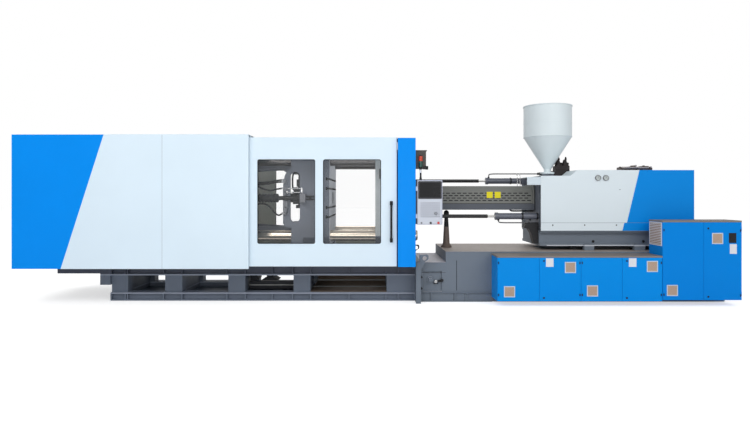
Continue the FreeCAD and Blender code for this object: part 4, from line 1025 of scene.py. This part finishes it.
def make_vent(body, x, z):
    """A framed vent: pale frame, brown back and nine flat slats."""
    half, back, face = 0.077, 0.066, DOOR_FACE
    Maker().ring(x - half, x + half, z - half, z + half, 0.012, face - 0.0035,
                 face + 0.002).done(body + "_vent_frame", "vent_frame", body, CABINET, 0.001)
    Maker().block((x - back, face - 0.0008, z - back), (x + back, face + 0.001, z + back)).done(
        body + "_vent_back", "vent_beige", body, CABINET, 0)
    slat = Maker().block((-0.064, -0.0022, -0.0035), (0.064, 0.0005, 0.0035))
    repeat(body + "_vent_slats", slat, 1, 9, (0, 0, 0), (0, 0, 0.0145),
           (x, face - 0.001, z - 0.058), "louvre_beige", body)


def make_hinges(body, x, heights):
    """Hinge leaves with their knuckles on one edge of a door."""
    hinges, face = Maker(), DOOR_FACE
    for z in heights:
        hinges.block((x - 0.009, face - 0.0036, z - 0.014), (x + 0.009, face, z + 0.014))
        hinges.disc("z", (x, face - 0.0005, 0), 0.0034, z - 0.020, z + 0.020, sides=12)
    hinges.done(body + "_hinges", "lock_navy", body, bevel=0.001)


def make_locks(body, x, heights):
    """Round locks: a ring with a black core in it."""
    rings, cores = Maker(), Maker()
    for z in heights:
        rings.disc("y", (x, 0, z), 0.0135, DOOR_FACE - 0.0032, DOOR_FACE)
        cores.disc("y", (x, 0, z), 0.008, DOOR_FACE - 0.0038, DOOR_FACE - 0.003)
    rings.done(body + "_lock_rings", "lock_navy", body, "gauge", 0.0008)
    cores.done(body + "_lock_cores", "black_paint", body, bevel=0)


def make_plate(name, body, x0, x1, z0, z1, material="label_plain"):
    """A bare plate on a cabinet door."""
    Maker().block((x0, DOOR_FACE - 0.0012, z0), (x1, DOOR_FACE + 0.0005, z1)).done(
        name, material, body, CABINET, 0.0004)


def make_cabinet_details():
    """Vents, hinges, locks and bare plates of the six cabinet doors."""
    vents = ((1.859, 0.211), (2.712, 0.551), (3.021, 0.222), (3.860, 0.565))
    for index, (x, z) in enumerate(vents):
        body, left_hung = "low_door_%d" % (index + 1), index % 2 == 0
        make_vent(body, x, z)
        edge = LOW_SEAMS[index] + 0.016 if left_hung else LOW_SEAMS[index + 1] - 0.016
        make_hinges(body, edge, (0.166, 0.614))
        if not left_hung:
            lock = LOW_SEAMS[index] + 0.064
            make_locks(body, lock, (0.124, 0.642))
            make_plate(body + "_plate", body, lock + 0.028, lock + 0.134, 0.560, 0.680)
    left, right = "tall_door_left", "tall_door_right"
    make_vent(left, 4.140, 0.229)
    make_vent(right, 4.773, 0.957)
    make_hinges(left, TALL[0] + 0.018, (0.170, 1.075))
    make_hinges(right, TALL[2] - 0.018, (0.160, 1.068))
    make_locks(right, TALL[1] + 0.064, (0.140, 1.098))
    make_plate("main_switch_plate", right, 4.931, 5.036, 0.894, 1.034, "black_paint")
    make_plate("tall_door_plate", right, 4.945, 5.043, 0.742, 0.878)


def make_cabinet_lids():
    """Grey folded lids on the cabinets and the louvre in the tall cabinet's side."""
    for name, x0, x1, z0, z1 in (("low", 1.686, 4.0035, 0.688, 0.7125),
                                 ("tall", 4.0005, 5.1135, 1.184, 1.2085)):
        Maker().block((x0, -1.1195, z0), (x1, -0.722, z1)).done(
            name + "_cabinet_lid", "lid_grey", "frame", CABINET, 0.003)
    face = 4.0045
    Maker().block((3.999, -1.092, 0.853), (face, -0.745, 1.176)).done(
        "tall_side_panel", "vent_beige", "frame", CABINET, 0.001)
    border = Maker()
    for y0, y1, z0, z1 in ((-1.096, -0.741, 0.849, 0.861), (-1.096, -0.741, 1.168, 1.180),
                           (-1.096, -1.084, 0.861, 1.168), (-0.753, -0.741, 0.861, 1.168)):
        border.block((3.996, y0, z0), (face, y1, z1))
    border.done("tall_side_border", "louvre_pale", "frame", CABINET, 0.001)
    slat = Maker().block((-0.004, -0.166, -0.0045), (0, 0.166, 0.0045))
    repeat("tall_side_louvre", slat, 1, 13, (0, 0, 0), (0, 0, 0.0235),
           (3.9995, -0.9185, 0.874), "louvre_pale", "frame")


def make_bed_details():
    """Rail ribs, grooves, skins, slits and the pin with its hook on the injection base."""
    face, slot = -0.722, "base_slate"
    ribs, slits = Maker(), Maker()
    for x in (0.795, 1.150, 1.325):
        ribs.block((x, face - 0.018, 0.012), (x + 0.016, face, 0.122))
    for low, high in ((0.122, 0.136), (0, 0.012)):
        ribs.block((0.640, face - 0.020, low), (1.688, face, high))
    ribs.done("bed_rail_ribs", "slate_paint", "frame", slot, 0.002)
    Maker().block((0.660, face - 0.0007, 0.425), (1.014, face + 0.001, 0.429)).done(
        "bed_grooves", "slot_dark", "frame", slot, 0)
    Maker().flanks(1.058, 1.642, 0.700, 0.7225, 0.148, 0.677).done(
        "bed_skins", "slate_paint", "frame", slot, 0)
    slits.flanks(1.170, 1.178, 0.715, 0.7232, 0.163, 0.605)
    slits.flanks(0.655, 1.676, 0.721, 0.7232, 0.117, 0.124)
    for x in (0.783, 1.128, 1.293):
        slits.flanks(x, x + 0.004, 0.721, 0.7232, 0.004, 0.117)
    slits.done("bed_slits", "slot_dark", "frame", slot, 0)
    Maker().disc("y", (0.866, 0, 0.298), 0.023, -0.752, -0.696).done(
        "bed_hook_pin", "bright_steel", "frame", "gauge", 0.004)
    Maker().block((0.900, -0.730, 0.288), (0.955, -0.696, 0.318)).disc(
        "y", (0.958, 0, 0.314), 0.022, -0.742, -0.696).block(
        (0.835, -0.718, 0.262), (0.905, -0.696, 0.276)).done(
        "bed_hook", "black_paint", "frame", bevel=0.003)


for make in (make_window_trim, make_guard_trim, make_platen_hoses, make_platen_valves,
             make_base_linings, make_mould_space_details, make_terminal_box,
             make_signal_lamp, make_keypad, make_slot_rows, make_barrel_cover_details,
             make_cover_details, make_cover_top, make_gauge_faces, make_cylinder_pipes,
             make_slide_bolts, make_hopper_beads, make_cabinet_details, make_cabinet_lids,
             make_bed_details):
    make()
